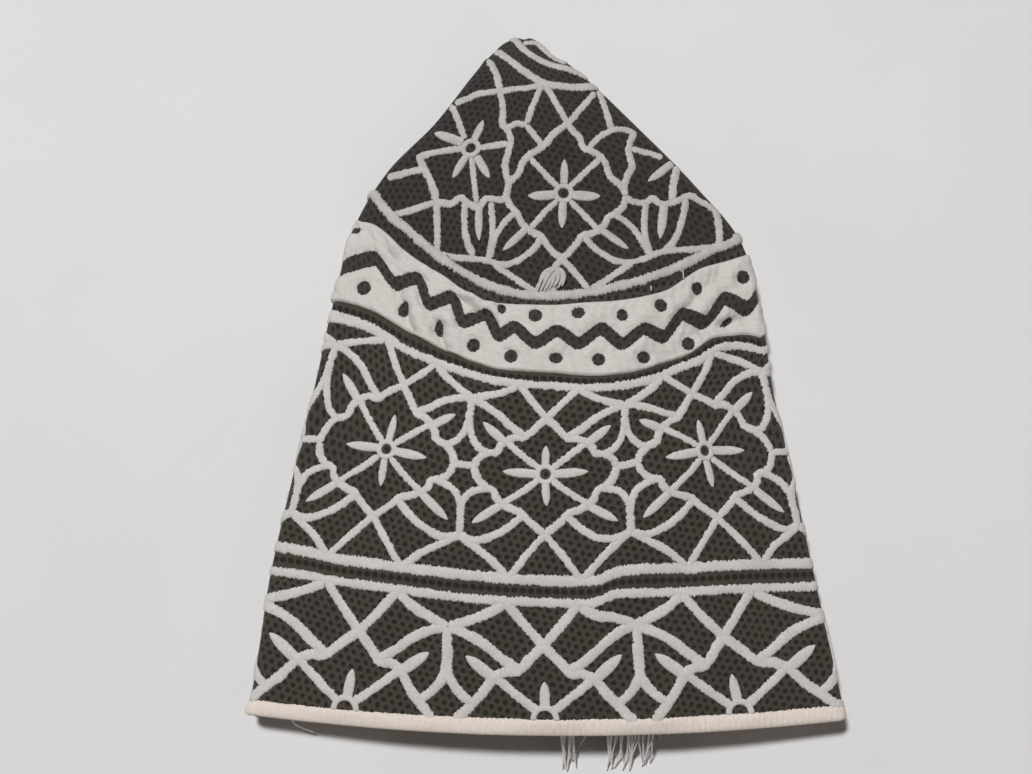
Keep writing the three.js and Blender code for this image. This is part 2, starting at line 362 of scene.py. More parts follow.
def cloth_at(high):
    """Outer and inner faces with their wrinkles."""
    outer, inner, up = grid(high)
    l = lengths(outer)
    n = grid_normals(outer)
    hh = np.broadcast_to(np.asarray(high)[:, None], l.shape)
    d = slack(hh, l, up)[..., None]
    return outer + n * d, inner + n * d, l


form.p, _, _ = cloth_at(form.h)
form.n = grid_normals(form.p)


# ---------------------------------------------------------------- mesh helpers
def new_mesh(name, verts, faces, uvs=None, attrs=None, soft=True):
    """faces: (n,4) or (n,3) indices; uvs: {layer: (verts,2)}; attrs: {name: (verts,)}; millimetres in."""
    faces = [np.asarray(f, dtype=np.int32) for f in (faces if isinstance(faces, list) else [faces]) if len(f)]
    me = bpy.data.meshes.new(name)
    v = np.asarray(verts, dtype=np.float64) / 1000
    me.vertices.add(len(v))
    me.vertices.foreach_set("co", v.astype(np.float32).ravel())
    loops = np.concatenate([f.ravel() for f in faces])
    sizes = np.concatenate([np.full(len(f), f.shape[1], dtype=np.int32) for f in faces])
    starts = np.concatenate([[0], np.cumsum(sizes)[:-1]]).astype(np.int32)
    me.loops.add(len(loops))
    me.loops.foreach_set("vertex_index", loops)
    me.polygons.add(len(sizes))
    me.polygons.foreach_set("loop_start", starts)
    me.update(calc_edges=True)
    me.validate(clean_customdata=False)
    for layer, uv in (uvs or {}).items():
        data = me.uv_layers.new(name=layer)
        data.data.foreach_set("uv", np.asarray(uv, np.float32)[loops].ravel())
    for key, val in (attrs or {}).items():
        a = me.attributes.new(key, "FLOAT", "POINT")
        a.data.foreach_set("value", np.asarray(val, np.float32).ravel())
    me.polygons.foreach_set("use_smooth", np.full(len(me.polygons), soft))
    ob = bpy.data.objects.new(name, me)
    bpy.context.scene.collection.objects.link(ob)
    return ob


def quads(rows, cols, flip=False, base=0, wrap=False):
    """Quads of a vertex grid; wrap joins its last column to its first."""
    idx = base + np.arange(rows * cols).reshape(rows, cols)
    if wrap:
        idx = np.concatenate([idx, idx[:, :1]], axis=1)
    a, b, c, d = idx[:-1, :-1], idx[:-1, 1:], idx[1:, 1:], idx[1:, :-1]
    q = np.stack([a, b, c, d] if not flip else [a, d, c, b], axis=-1)
    return q.reshape(-1, 4)


def disc_uv(high, length, reach):
    """Flat place on the crown's disc, in millimetres."""
    r = (FULL_HIGH + 1 - high) * 0.93
    a = math.pi * length / np.maximum(reach, 1)
    return np.stack([r * np.sin(a), -r * np.cos(a)], axis=-1)


def shell(name, high, crown=False):
    outer, inner, l = cloth_at(high)
    rows, cols = len(high), outer.shape[1] - 1
    o, i = outer[:, :-1].reshape(-1, 3), inner[:, :-1].reshape(-1, 3)
    verts = [o, i]
    n = rows * cols
    faces = [quads(rows, cols, wrap=True), quads(rows, cols, flip=True, base=n, wrap=True)]
    ring = np.arange(cols)
    nxt = (ring + 1) % cols

    def rim(a, b):
        return np.stack([a[ring], b[ring], b[nxt], a[nxt]], axis=-1)

    faces.append(rim(n + np.arange(cols), np.arange(cols)))
    last = (rows - 1) * cols + ring
    hh = np.broadcast_to(high[:, None], (rows, cols))
    ll = l[:, :-1]
    a = hh - (stripe_up(ll) + stripe_low(ll)) / 2
    b = hh - (band_line(ll) + band_low(ll)) / 2 - 0.1
    row_off = np.where(np.abs(a) < np.abs(b), a, b) if not crown else np.full(hh.shape, 9.0)
    attrs = [np.clip(row_off, -9, 9).ravel()] * 2 + ([np.full(2, 9.0)] if crown else [])
    if crown:
        uv = disc_uv(hh, l[:, :-1], l[:, -1:]).reshape(-1, 2)
    else:
        uv = np.stack([l[:, :-1], hh], axis=-1).reshape(-1, 2)
    uvs = [uv, uv]
    tris = []
    if not crown:
        faces.append(rim(last, n + last))
    else:
        tip_o, tip_i = outer[-1, :-1].mean(axis=0), inner[-1, :-1].mean(axis=0)
        tip_o = tip_o + np.array([0, 0.4, 0])
        verts += [tip_o[None], tip_i[None]]
        uvs += [np.zeros((1, 2)), np.zeros((1, 2))]
        tris.append(np.stack([last, last[nxt], np.full(cols, 2 * n)], axis=-1))
        tris.append(np.stack([n + last[nxt], n + last, np.full(cols, 2 * n + 1)], axis=-1))
    faces = [np.concatenate(faces)] + ([np.concatenate(tris)] if tris else [])
    return new_mesh(name, np.concatenate(verts), faces, {"cloth": np.concatenate(uvs)}, {"row_off": np.concatenate(attrs)})


# ---------------------------------------------------------------- charts
# Places in the view's 1032 x 774 pixels, for the lines that run round the whole cap.
STRIPE_UP = [(275.3, 546.3), (304, 551), (336.5, 558.7), (374.8, 563.8), (422.6, 570.2), (470.4, 575.4), (510, 579), (547, 580.7), (578.3, 581.3), (597.4, 580.3), (607, 576), (616.5, 572.1), (635.7, 569.6), (693, 567.7), (750.4, 564.6), (807.8, 563.3)]
STRIPE_LOW = [(271.3, 570.6), (304, 575), (336.5, 581), (394, 588.6), (451.3, 596.7), (508.7, 601.2), (540, 602.6), (578.3, 603.7), (597.4, 601.7), (607, 597.5), (616.5, 594.1), (635.7, 593.1), (693, 591.4), (750.4, 588.4), (812, 586.4)]
BAND_LINE = [(328.8, 317.8), (345.6, 319.3), (368.6, 327), (383.9, 336.1), (406.8, 349.9), (431.3, 360.6), (452.8, 368.3), (475.7, 375.9), (498.7, 381.3), (529.3, 385), (555, 386), (579.9, 388), (619.7, 385.9), (651.6, 379.5), (675.5, 369.5), (699.4, 360.6), (709, 353.6), (720.2, 348), (739.3, 346), (763.2, 351)]
BAND_LOW = [(332.5, 303.5), (350.2, 303.8), (373.2, 311.6), (391.5, 322), (409.9, 333), (431.3, 344), (452.8, 353.5), (475.7, 363), (498.7, 369.4), (529.3, 372), (555, 373), (571.9, 374.8), (603.8, 375.6), (635.7, 371.8), (661.2, 364), (683.5, 356.8), (699.4, 347.8), (712.2, 338.2), (728.1, 335.8), (747.3, 335), (760, 338)]
BAND_TOP = [(361, 221.5), (373.7, 224), (388, 234), (402.4, 248), (423.9, 263.8), (445.4, 276.4), (464, 290), (484, 300), (504.8, 303), (540, 304.5), (588, 302), (620, 300), (644, 296), (667.6, 289.4), (683.5, 279), (699.4, 268.8), (715.4, 263.8), (743, 256)]
SEAM = [(375, 196), (388, 213.3), (409.6, 232), (431, 250.6), (452.6, 266), (474, 278.8), (495.7, 288), (517.2, 293.8), (540, 296), (563, 295.4), (587.8, 292.8), (619.7, 286.4), (645, 279.5), (659.6, 274.3), (683.5, 265), (707.4, 252.8), (732.2, 242.5)]
MIDDLE_FLOWERS = [(386.6, 449.4), (545.4, 474.5), (704.5, 451)]
HEM_FLOWERS = [(345, 700.5), (545, 716), (740, 703.5)]

# One repeat of the wall's pattern, in pixels from the flower's middle (x right, y down): kind, width, places.
# The right half; those marked both are mirrored to the left.
TILE = [
    ("line", 7.7, "both", [(0, -58), (10, -48.5), (17, -41), (22, -37), (30, -36.5), (39, -32), (45, -26), (48, -19.5), (58, -16.5), (66, -10), (70, 0)]),
    ("line", 7.7, "both", [(70, 0), (66, 10), (59, 16.5), (50, 20), (48, 26), (42, 32), (31, 37), (22, 40), (17, 46), (0, 60)]),
    ("petal", 7.8, "one", [(0, -8), (0, -29.5)]),
    ("petal", 7.8, "one", [(0, 8), (1.5, 31.5)]),
    ("petal", 9.2, "both", [(8, 0), (41.5, 0)]),
    ("line", 6.7, "both", [(6.5, -6), (22, -18), (38.5, -31)]),
    ("line", 6.7, "both", [(6.5, 6), (22, 18), (41, 31)]),
    ("line", 7.4, "one", [(70, 0), (90, -1.5)]),
    ("line", 7.2, "both", [(0, -58), (14, -74), (29, -92)]),
    ("line", 7.2, "both", [(0, 60), (17, 80), (35, 104)]),
    ("line", 7.7, "both", [(31, -90), (45, -82), (60, -76), (80, -69)]),
    ("line", 7.7, "both", [(80, -69), (66, -65.6), (48, -57.5), (34, -47), (20, -38)]),
    ("line", 7.7, "one", [(80, -69), (80.3, -54)]),
    ("line", 7.2, "both", [(80, -56), (78.5, -41), (73, -28), (64, -19), (55, -16.5)]),
    ("petal", 9.0, "both", [(40, -30.5), (64, -47.5)]),
    ("line", 7.7, "one", [(80, 67), (80.3, 48)]),
    ("line", 7.2, "both", [(80, 50), (78.5, 36), (73, 26), (62, 20), (54, 18.5)]),
    ("line", 7.7, "both", [(20, 41), (37, 56), (51, 65), (66, 71), (80, 67)]),
    ("line", 7.7, "both", [(80, 67), (68, 76), (51, 88), (37, 103)]),
    ("petal", 9.0, "both", [(44, 34), (69, 54)]),
    ("ring", 5.8, "one", [(0, 0), (7.8, 7.8)]),
]

# In the tier at the hem the half flowers' outlines run straight down into the binding instead.
HEM_TILE = [
    ("line", 7.7, "both", [(0, -58), (10, -48.5), (17, -41), (22, -37), (30, -36.5), (39, -32.5), (44, -27), (51, -18), (58, -11), (64, -4.5), (69, 2), (73, 10)]),
    ("line", 7.2, "both", [(80, -56), (80, -40), (78.5, -31), (71, -20), (59, -10.5)]),
]

# The crown's pattern as it shows, in the view's pixels: kind, width, places.
CROWN = [
    # the three flowers
    ("ring", 6.0, [(563.5, 193.5), (8.2, 8.4)]),
    ("ring", 6.2, [(470.9, 148.6), (8.0, 8.4)]),
    ("petal", 8.0, [(564, 184), (564.4, 159.6)]),
    ("petal", 10.2, [(554, 194.5), (528.2, 195.8)]),
    ("petal", 10.2, [(573, 195), (600.2, 196.4)]),
    ("petal", 8.4, [(563, 203), (562, 228)]),
    ("line", 6.2, [(557, 186.5), (544, 173), (530.8, 158.6)]),
    ("line", 6.0, [(570, 186.5), (585, 172.5), (600.8, 158.2)]),
    ("line", 6.0, [(557, 200.5), (544, 213), (531, 228)]),
    ("line", 6.0, [(570.5, 201), (584, 215), (598, 229.5)]),
    ("petal", 7.8, [(474, 140), (483.2, 120.6)]),
    ("petal", 10.4, [(463, 142.5), (434.6, 133.4)]),
    ("line", 6.6, [(465, 139), (460, 126), (455.8, 114.5), (451.5, 106)]),
    ("line", 7.0, [(462, 149), (450, 150.2), (439.3, 152), (418, 157.5)]),
    ("line", 6.8, [(480, 148), (493, 145.6), (508, 143.8)]),
    ("petal", 8.0, [(466, 157), (453, 177.8)]),
    ("line", 5.6, [(471.5, 158), (474, 180), (476.6, 203)]),
    ("petal", 8.6, [(477, 156.5), (489.4, 177.8)]),
    # outline of the middle flower
    ("line", 7.0, [(567.7, 124), (561, 129), (554.3, 133.8), (548, 141.5), (542.6, 147.4), (534.7, 152), (527.7, 156.3), (522.6, 163.5), (519.3, 172.5), (513, 179.5), (507.5, 184.6)]),
    ("line", 6.8, [(567.7, 124), (573, 131), (579.6, 138.1), (584, 148.5), (592, 151.6), (600.9, 157.2), (606, 165), (609.4, 176), (616.3, 182.1), (622.1, 188), (625.6, 195.5)]),
    ("line", 7.0, [(626, 197), (622.4, 208), (614.8, 214.2), (607.5, 218), (604.5, 225), (598.7, 230.6), (591.3, 234), (582.4, 236), (576.7, 243.6), (569.3, 252.4), (561.8, 258.6)]),
    ("line", 6.8, [(508.7, 183), (506.4, 197), (509.5, 204.6), (516.5, 212.4), (521.5, 222.5), (527.5, 228.6), (535, 233.6), (541.6, 236.4), (546, 243.6), (553, 252), (561.7, 258.4)]),
    # above the flowers
    ("line", 6.6, [(567.7, 124), (581, 108.8), (594.5, 93)]),
    ("line", 6.2, [(567.7, 124), (561.4, 112.8), (553.4, 99), (545.6, 86)]),
    ("line", 6.2, [(541.8, 84.7), (538.4, 93), (532.8, 106), (527, 123.4)]),
    ("line", 6.4, [(527, 125.6), (517.9, 123.8), (509.4, 126.8), (503.4, 128.4)]),
    ("line", 6.4, [(527, 125.8), (534.7, 136), (541.9, 146)]),
    ("line", 6.8, [(455.5, 104), (464, 100.4), (471.6, 97.2), (480, 93.8), (498.2, 91.7), (519.3, 88.9), (541, 84)]),
    ("line", 6.8, [(488.5, 60.5), (493, 68), (496.8, 76.3), (499.6, 90.3), (503.1, 108.6), (502.8, 125), (508, 131), (510.6, 140.8), (508.9, 150.7), (505, 164.7), (506.6, 174.5), (508.7, 184)]),
    ("line", 6.2, [(588.4, 149.9), (593, 143.5), (600, 137), (611.9, 130.6), (620.7, 129.3), (629, 131.2), (636, 134.6)]),
    ("line", 6.6, [(598.6, 92), (602, 100), (605.6, 110), (611.2, 129)]),
    # right of the middle flower
    ("line", 7.0, [(634.5, 133.7), (629.6, 143.5), (628.9, 153), (632, 167), (627.4, 176.6), (624.2, 187), (625.6, 196)]),
    ("line", 6.4, [(632, 149), (646, 152.8), (662, 157.8)]),
    ("petal", 8.4, [(671.5, 164), (648, 181.4)]),
    ("line", 7.6, [(677, 167.5), (673.9, 182), (672, 202)]),
    ("line", 6.8, [(625.6, 197), (632.4, 201.4), (645.6, 202.8), (652.6, 198.8), (660.3, 204), (672, 202.9), (681, 199.5), (689.8, 196), (699.9, 201.2), (714, 210)]),
    ("line", 6.6, [(645.8, 203), (644.6, 218), (645, 234), (650, 255)]),
    ("line", 6.4, [(615.4, 215.4), (626, 222), (635.4, 231), (642.2, 241.5), (649.4, 255)]),
    ("petal", 9.2, [(664.2, 205), (660, 238.6)]),
    ("line", 7.0, [(686.2, 199.6), (681.6, 222), (673.6, 241.5), (662.5, 252.8)]),
    ("petal", 7.8, [(602.5, 230.6), (628.4, 248.6)]),
    ("line", 6.6, [(584.5, 236.4), (591, 245), (600, 252), (613.3, 259.9), (628, 262.4), (642.7, 259.4), (657.4, 253.6), (672, 250.6), (694, 249.4), (720, 246.4)]),
    ("line", 6.8, [(713.5, 208), (718.6, 224.7), (719, 248)]),
    ("line", 6.4, [(561.8, 258.6), (575, 273), (590, 291)]),
    ("line", 6.4, [(561.8, 258.6), (550, 274), (535, 292)]),
    ("line", 6.8, [(592, 289), (610.4, 277.5), (632, 262.5)]),
    # left of the middle flower
    ("line", 7.6, [(418.5, 155), (422.6, 166), (430.9, 182), (436.5, 200)]),
    ("line", 7.4, [(388, 178.5), (404, 173.6), (424.6, 168.8)]),
    ("line", 7.2, [(388, 216.8), (410, 210.8), (436, 202.8), (451.9, 203.6), (461.2, 197.8), (469, 204.4), (478.6, 206.6), (487, 199), (498.2, 200), (508, 197.6)]),
    ("line", 6.6, [(437, 204), (437.2, 228), (436.8, 254)]),
    ("line", 6.4, [(465.2, 203), (464.8, 230), (467.6, 243), (473.2, 256)]),
    ("petal", 7.6, [(479.2, 207), (479.2, 240.6)]),
    ("line", 6.0, [(491.2, 203), (492.6, 226), (491.5, 241), (488.4, 259)]),
    ("line", 6.4, [(514.6, 213), (506, 221), (498.5, 231.5), (493, 244), (489.2, 258.8)]),
    ("petal", 8.0, [(526, 229.4), (503, 250.4)]),
    ("line", 6.6, [(541.6, 238), (534.4, 248), (524, 256.6), (512.9, 262.6), (500, 264.6), (488.5, 261), (472.7, 259), (454, 257.6), (440.5, 254)]),
    ("line", 6.4, [(494.5, 264.6), (514.3, 277.8), (534, 291.4)]),
    # rings round the crown's middle
    ("line", 8.2, [(492, 45.5), (501, 53.9), (512.3, 62.3), (523.5, 71.1), (534.7, 78.6), (544.5, 83.6), (561.4, 86.4), (579.6, 87.6), (597, 88.4)]),
    ("line", 7.2, [(510, 36.5), (518, 43.6), (527.3, 52.5), (540.3, 60.6), (554.3, 66), (568.4, 69.4), (588, 78.4)]),
    ("line", 6.4, [(524, 40.4), (536, 43), (546, 46.4), (556, 53.5), (567, 63)]),
]

# The zigzag of the band and its dots, in the view's pixels. Dots: place, radii, turn in degrees.
ZIGZAG = [(342.6, 268.8), (376.2, 257), (394.6, 285), (419.1, 277), (428.3, 306.5), (453.5, 296.3), (461.9, 324), (488, 313.9), (498.7, 337.7), (514.8, 325.4), (534.7, 345.3), (557.5, 329.3), (578.3, 345.4), (601.4, 326.9), (622.1, 346.2), (643.6, 327.7), (663.6, 339), (681.1, 312.5), (704.2, 324.5), (723.4, 296.8), (747.3, 310.4), (757.6, 291.6)]
ZIG_HALF = 5.0
DOTS = [
    (364, 288.4, 6.6, 6.6, 0), (404.9, 310.1, 5.4, 7.6, 8), (440.2, 329.5, 5.0, 7.6, 18), (473.7, 345.6, 5.8, 6.2, 0),
    (510.9, 356.8, 5.9, 6.0, 0), (555.9, 358.3, 6.0, 4.8, 0), (598.7, 359.9, 5.9, 5.7, 0), (643.3, 357.7, 6.0, 5.4, 0),
    (688, 344.4, 6.0, 6.2, 0), (725.7, 322.9, 6.4, 2.9, 14),
    (356, 231, 5.6, 2.6, 30), (501.7, 309.3, 3.8, 4.6, 24), (535.4, 315.8, 6.0, 5.8, 0), (578.3, 313, 5.8, 4.9, 8),
    (622.1, 315.4, 5.0, 5.6, 0), (660.7, 305.7, 5.8, 6.3, 0), (696.6, 288.9, 6.1, 6.1, 0), (742.8, 277.5, 6.2, 6.2, 0),
]


def view_points(points):
    pts = np.asarray(points, float)
    h, l = form.from_view(pts[:, 0], pts[:, 1])
    return np.stack([h, l], axis=1)


def curve(points, step):
    """A smooth line through places, with even steps."""
    p = np.asarray(points, float)
    if len(p) > 2:
        q = np.concatenate([[2 * p[0] - p[1]], p, [2 * p[-1] - p[-2]]])
        fine = []
        for k in range(1, len(q) - 2):
            a, b, c, d = q[k - 1], q[k], q[k + 1], q[k + 2]
            t = np.linspace(0, 1, 9)[:-1, None]
            # tangents shortened by their neighbours' spacing, so that close places give no loops
            lb = np.linalg.norm(c - b)
            m1 = (c - a) / max(np.linalg.norm(b - a) + lb, 1e-9) * lb
            m2 = (d - b) / max(np.linalg.norm(d - c) + lb, 1e-9) * lb
            fine.append((2 * t**3 - 3 * t**2 + 1) * b + (t**3 - 2 * t**2 + t) * m1 + (3 * t**2 - 2 * t**3) * c + (t**3 - t**2) * m2)
        p = np.concatenate(fine + [p[-1:]])
    d = np.linalg.norm(np.diff(p, axis=0), axis=1)
    run = np.concatenate([[0], np.cumsum(d)])
    n = max(3, int(round(run[-1] / step)) + 1)
    at = np.linspace(0, run[-1], n)
    return np.stack([np.interp(at, run, p[:, k]) for k in range(p.shape[1])], axis=1)


class Ring:
    """A line round the whole cap: its height as a function of length. Where it isn't charted it goes level."""

    def __init__(self, points, fade=26.0):
        p = view_points(points)
        p = p[np.argsort(p[:, 1])]
        q = curve(p, 1.0)
        self.l, self.h = q[:, 1], q[:, 0]
        order = np.argsort(self.l)
        self.l, self.h = self.l[order], self.h[order]
        self.level = (self.h[0] + self.h[-1]) / 2
        self.fade = fade

    def __call__(self, length):
        length = np.asarray(length, float)
        h = np.interp(length, self.l, self.h)
        past = np.maximum(np.maximum(self.l[0] - length, length - self.l[-1]), 0)
        return h + (self.level - h) * smooth(past, 0, self.fade)


stripe_up, stripe_low, band_line = Ring(STRIPE_UP), Ring(STRIPE_LOW), Ring(BAND_LINE)
band_low, band_top, seam = Ring(BAND_LOW), Ring(BAND_TOP), Ring(SEAM)

WALL_ROWS = np.linspace(BINDING_HIGH - 1.5, WALL_HIGH + 0.15, 106)
CROWN_ROWS = np.concatenate([np.linspace(WALL_HIGH + 0.15, 216, 62), np.linspace(217.2, 230.3, 12)])
wall = shell("wall_cloth", WALL_ROWS)
crown = shell("crown_cloth", CROWN_ROWS, crown=True)

# ---------------------------------------------------------------- raised stitches
ACROSS = np.array([-1, -0.9, -0.6, 0, 0.6, 0.9, 1.0])
RISE = np.array([-0.35, 0.5, 0.88, 1.0, 0.88, 0.5, -0.35])


def true_steps(high, length):
    """The cloth's own scale at a place: length of a step along, upward skew, length of a step up."""
    along = (form.at(high, length + 1)[0] - form.at(high, length - 1)[0]) / 2
    up = (form.at(high + 1, length)[0] - form.at(high - 1, length)[0]) / 2
    size = float(np.linalg.norm(along))
    skew = float(up @ along) / size
    return size, skew, float(np.linalg.norm(up - skew * along / size))


class Thread:
    """Collects raised satin-stitch lines into one mesh."""

    def __init__(self):
        self.v, self.f, self.uv, self.n = [], [], [], 0

    def add(self, hl, half, tall, jag=0.2, lift=0.0, closed=False):
        """hl: places (height, length) along the line; half: half width in mm, one for each place."""
        m = len(hl)
        p, nrm = form.at(hl[:, 0], hl[:, 1])
        if closed:
            t = np.roll(p, -1, axis=0) - np.roll(p, 1, axis=0)
        else:
            t = np.gradient(p, axis=0)
        side = unit(np.cross(nrm, unit(t)))
        half = np.broadcast_to(half, (m,)).astype(float)
        tall = np.broadcast_to(tall, (m,)).astype(float)
        left = jag * rng.uniform(-1, 1, m) * np.minimum(1, half)
        right = jag * rng.uniform(-1, 1, m) * np.minimum(1, half)
        teeth = np.where(ACROSS[None, :] < 0, left[:, None], right[:, None]) * np.abs(ACROSS[None, :]) ** 4
        wide = (half[:, None] + teeth) * ACROSS[None, :]
        top = np.where(RISE[None, :] > 0, RISE[None, :] * tall[:, None], RISE[None, :] - 0.1)
        under = 0.9 * smooth(BINDING_HIGH + 0.1 - hl[:, 0], 0, 1.2)  # the stitches run in under the binding
        top = top * (1 + 0.025 * rng.uniform(-1, 1, (m, 1))) + (np.broadcast_to(lift, (m,)) - under)[:, None]
        v = p[:, None] + side[:, None] * wide[..., None] + nrm[:, None] * top[..., None]
        v[..., 2] = np.maximum(v[..., 2], 0.02)
        k = len(ACROSS)
        run = np.concatenate([[0], np.cumsum(np.linalg.norm(np.diff(p, axis=0), axis=1))])
        uv = np.stack([np.broadcast_to(run[:, None], (m, k)), wide], axis=-1)
        rows = m
        if closed:
            v = np.concatenate([v, v[:1]])
            uv = np.concatenate([uv, uv[:1] + [run[-1] - run[0], 0]])
            rows = m + 1
        idx = self.n + np.arange(rows * k).reshape(rows, k)
        q = quads(rows, k, base=self.n, wrap=True, flip=True)
        self.v.append(v.reshape(-1, 3))
        self.uv.append(uv.reshape(-1, 2))
        self.f.append(q)
        if not closed:
            for row, flip in ((idx[0], True), (idx[-1], False)):
                r = row if flip else row[::-1]
                self.f.append(np.array([[r[0], r[1], r[5], r[6]], [r[1], r[2], r[4], r[5]], [r[2], r[3], r[4], r[4]]])[:2])
        self.n += rows * k

    def line(self, hl, px_wide, tall=0.55, step=None, jag=0.34, lift=0.0):
        step = step or (0.4 if np.abs(hl[:, 1]).mean() < 84 else 1.1)
        c = curve(hl, step)
        m = len(c)
        at = np.minimum(np.arange(m), np.arange(m)[::-1]) * step
        end = 0.6 + 0.4 * smooth(at, 0, 0.8)
        sway = 1 + 0.05 * np.sin(np.arange(m) * step * 0.46 + rng.uniform(0, 6))
        self.add(c, px_wide * PXU * 0.54 * end * sway, tall * (0.75 + 0.25 * end), jag, lift)

    def petal(self, hl, px_wide, tall=0.62, step=None):
        """A finger of stitches: full at its root, pointed at its tip."""
        step = step or (0.4 if np.abs(hl[:, 1]).mean() < 84 else 1.0)
        c = curve(hl, step)
        u = np.linspace(0, 1, len(c))
        prof = (0.86 + 0.14 * np.sin(math.pi * np.clip(u * 1.1, 0, 1))) * np.power(np.clip(1 - np.power(u, 5.5), 0, 1), 0.7)
        prof = np.clip(prof, 0.14, 1)
        self.add(c, px_wide * PXU * 0.54 * prof, tall * (0.45 + 0.55 * prof), 0.13)

    def ring(self, centre, radii, px_wide, tall=0.66, half_only=False):
        """A ring round a hole; radii in pixels along the length and the height."""
        n = 56 if abs(centre[1]) < 84 else 26
        a = np.linspace(0, 2 * math.pi, n, endpoint=False)
        if half_only:
            a = np.linspace(-0.12, math.pi + 0.12, n // 2)
        size, skew, rise = true_steps(centre[0], centre[1])
        up = radii[1] * PXU * np.sin(a) / rise
        hl = np.stack([centre[0] + up, centre[1] - (radii[0] * PXU * np.cos(a) + up * skew) / size], axis=1)
        self.add(hl, px_wide * PXU / 2, tall, 0.1, closed=not half_only)

    def make(self, name):
        return new_mesh(name, np.concatenate(self.v), np.concatenate(self.f), {"stitch": np.concatenate(self.uv)})


FRONT = 76.0  # up to this length the pattern keeps its true spacing; past it, it is shared out evenly


def lean(length, middle, gap):
    """The cloth fans out from its middle, so the pattern leans inwards to either side; radians."""
    off = length - middle
    turn = math.radians(11) * smooth(np.abs(off), 0.2 * gap, gap) * (1 - smooth(np.abs(off), 92, 125))
    return -np.sign(off) * turn


def place_tile(points, scale, centre_h, centre_l, y_top, h_top, y_bottom, h_bottom, reach_c, middle, gap):
    """From a repeat's pixels to (height, length)."""
    p = np.asarray(points, float) * scale
    l = centre_l + p[:, 0] * PXU
    turn = lean(l, middle, gap)
    l = l - p[:, 1] * PXU * np.tan(turn)
    up = -p[:, 1]
    ref = np.asarray(l)
    high = np.where(
        up >= 0,
        centre_h(ref) + (h_top(ref) - centre_h(ref)) * up / -(y_top * scale),
        centre_h(ref) + (h_bottom(ref) - centre_h(ref)) * -up / (y_bottom * scale),
    )
    full = form.reach(high)
    past = np.abs(l) - FRONT
    l = np.where(past > 0, np.sign(l) * (FRONT + past * (full - FRONT) / (reach_c - FRONT)), l)
    return np.stack([high, l], axis=1)


def tier(thread, flowers_px, scale, centre_h, y_top, h_top, y_bottom, h_bottom, half_only=False, repeats=10):
    h, l = form.from_view([p[0] for p in flowers_px], [p[1] for p in flowers_px])
    reach_c = float(form.reach(np.array([float(centre_h(0.0))]))[0])
    side = (repeats - len(l)) / 2
    places = list(l)
    right_gap = (reach_c - l[-1]) / (side + 0.5)
    left_gap = (l[0] + reach_c) / (side + 0.5)
    for k in range(1, int(side) + 1):
        places += [l[-1] + right_gap * k, l[0] - left_gap * k]
    if side % 1:
        places.append(l[-1] + right_gap * (side + 0.5))
    gap = 160 * PXU * scale
    seen = (l[-1] - l[0]) / (len(l) - 1)
    for cl in places:
        # each side of a repeat reaches half way to its neighbour
        to_left = seen if l[0] + 1 < cl <= l[-1] + 1 else (left_gap if cl <= l[0] + 1 else right_gap)
        to_right = seen if l[0] - 1 <= cl < l[-1] - 1 else (left_gap if cl < l[0] - 1 else right_gap)
        args = (scale, centre_h, cl, y_top, h_top, y_bottom, h_bottom, reach_c, l[len(l) // 2], seen)
        chart = TILE if not half_only else HEM_TILE + [t for t in TILE if t[3][-1] not in ((70, 0), (55, -16.5))]
        for kind, wide, sides, pts in chart:
            pts = np.asarray(pts, float)
            if kind == "ring":
                spot = place_tile([(0, 0)], *args)[0]
                thread.ring(spot, pts[1] * (1.42 if half_only else 1), wide * (1.1 if half_only else 1), half_only=half_only)
                continue
            if half_only:
                if pts[:, 1].max() > 11 or kind == "petal" and abs(pts[:, 1]).max() < 1:
                    continue
                if wide == 7.4:  # the bar between two flowers lies under the binding
                    continue
            for sign in (1, -1) if sides == "both" else (1,):
                q = pts * [sign, 1]
                q[:, 0] = np.where(q[:, 0] > 0, q[:, 0] * to_right, q[:, 0] * to_left) / gap
                hl = place_tile(q, *args)
                hl[:, 0] = np.maximum(hl[:, 0], BINDING_HIGH - 3.2)
                w = wide * (1.3 if half_only else 1.02)
                if kind == "line":
                    thread.line(hl, w)
                else:
                    thread.petal(hl, w)


def round_line(thread, ring, wide, tall, shift=0.0, lift=0.0, left=0.0):
    """A stitched line right round the cap, as one closed loop with finer steps across the front."""
    full = float(form.reach(np.array([ring.level]))[0])
    l = np.concatenate([np.arange(-full, -88, 1.0), np.arange(-88, 88, 0.3), np.arange(88, full, 1.0)])
    h = ring(l) + shift
    w = wide * PXU / 2 * (1 + 0.04 * np.sin(l * 0.31) + 0.03 * np.sin(l * 0.83 + 1))
    w = w * (1 + left * smooth(-l, 45, 75) * (1 - smooth(-l, 95, 120)))
    thread.add(np.stack([h, l], axis=1), w, tall, 0.52, lift, closed=True)


middle_h = Ring([(c[0], c[1]) for c in MIDDLE_FLOWERS] + [(300, 440), (790, 455)])


def hem_h(length):
    return np.full(np.shape(length), BINDING_HIGH) if np.ndim(length) else BINDING_HIGH


wall_thread = Thread()
tier(wall_thread, MIDDLE_FLOWERS, 1.0, middle_h, -93.0, band_line, 105.0, stripe_up)
tier(wall_thread, HEM_FLOWERS, 1.23, hem_h, -93.2, stripe_low, 105.0, hem_h, half_only=True, repeats=8)
border_thread = Thread()
round_line(border_thread, stripe_up, 11.2, 0.55)
round_line(border_thread, stripe_low, 9.4, 0.55)
round_line(border_thread, band_line, 9.0, 0.55, left=0.42)

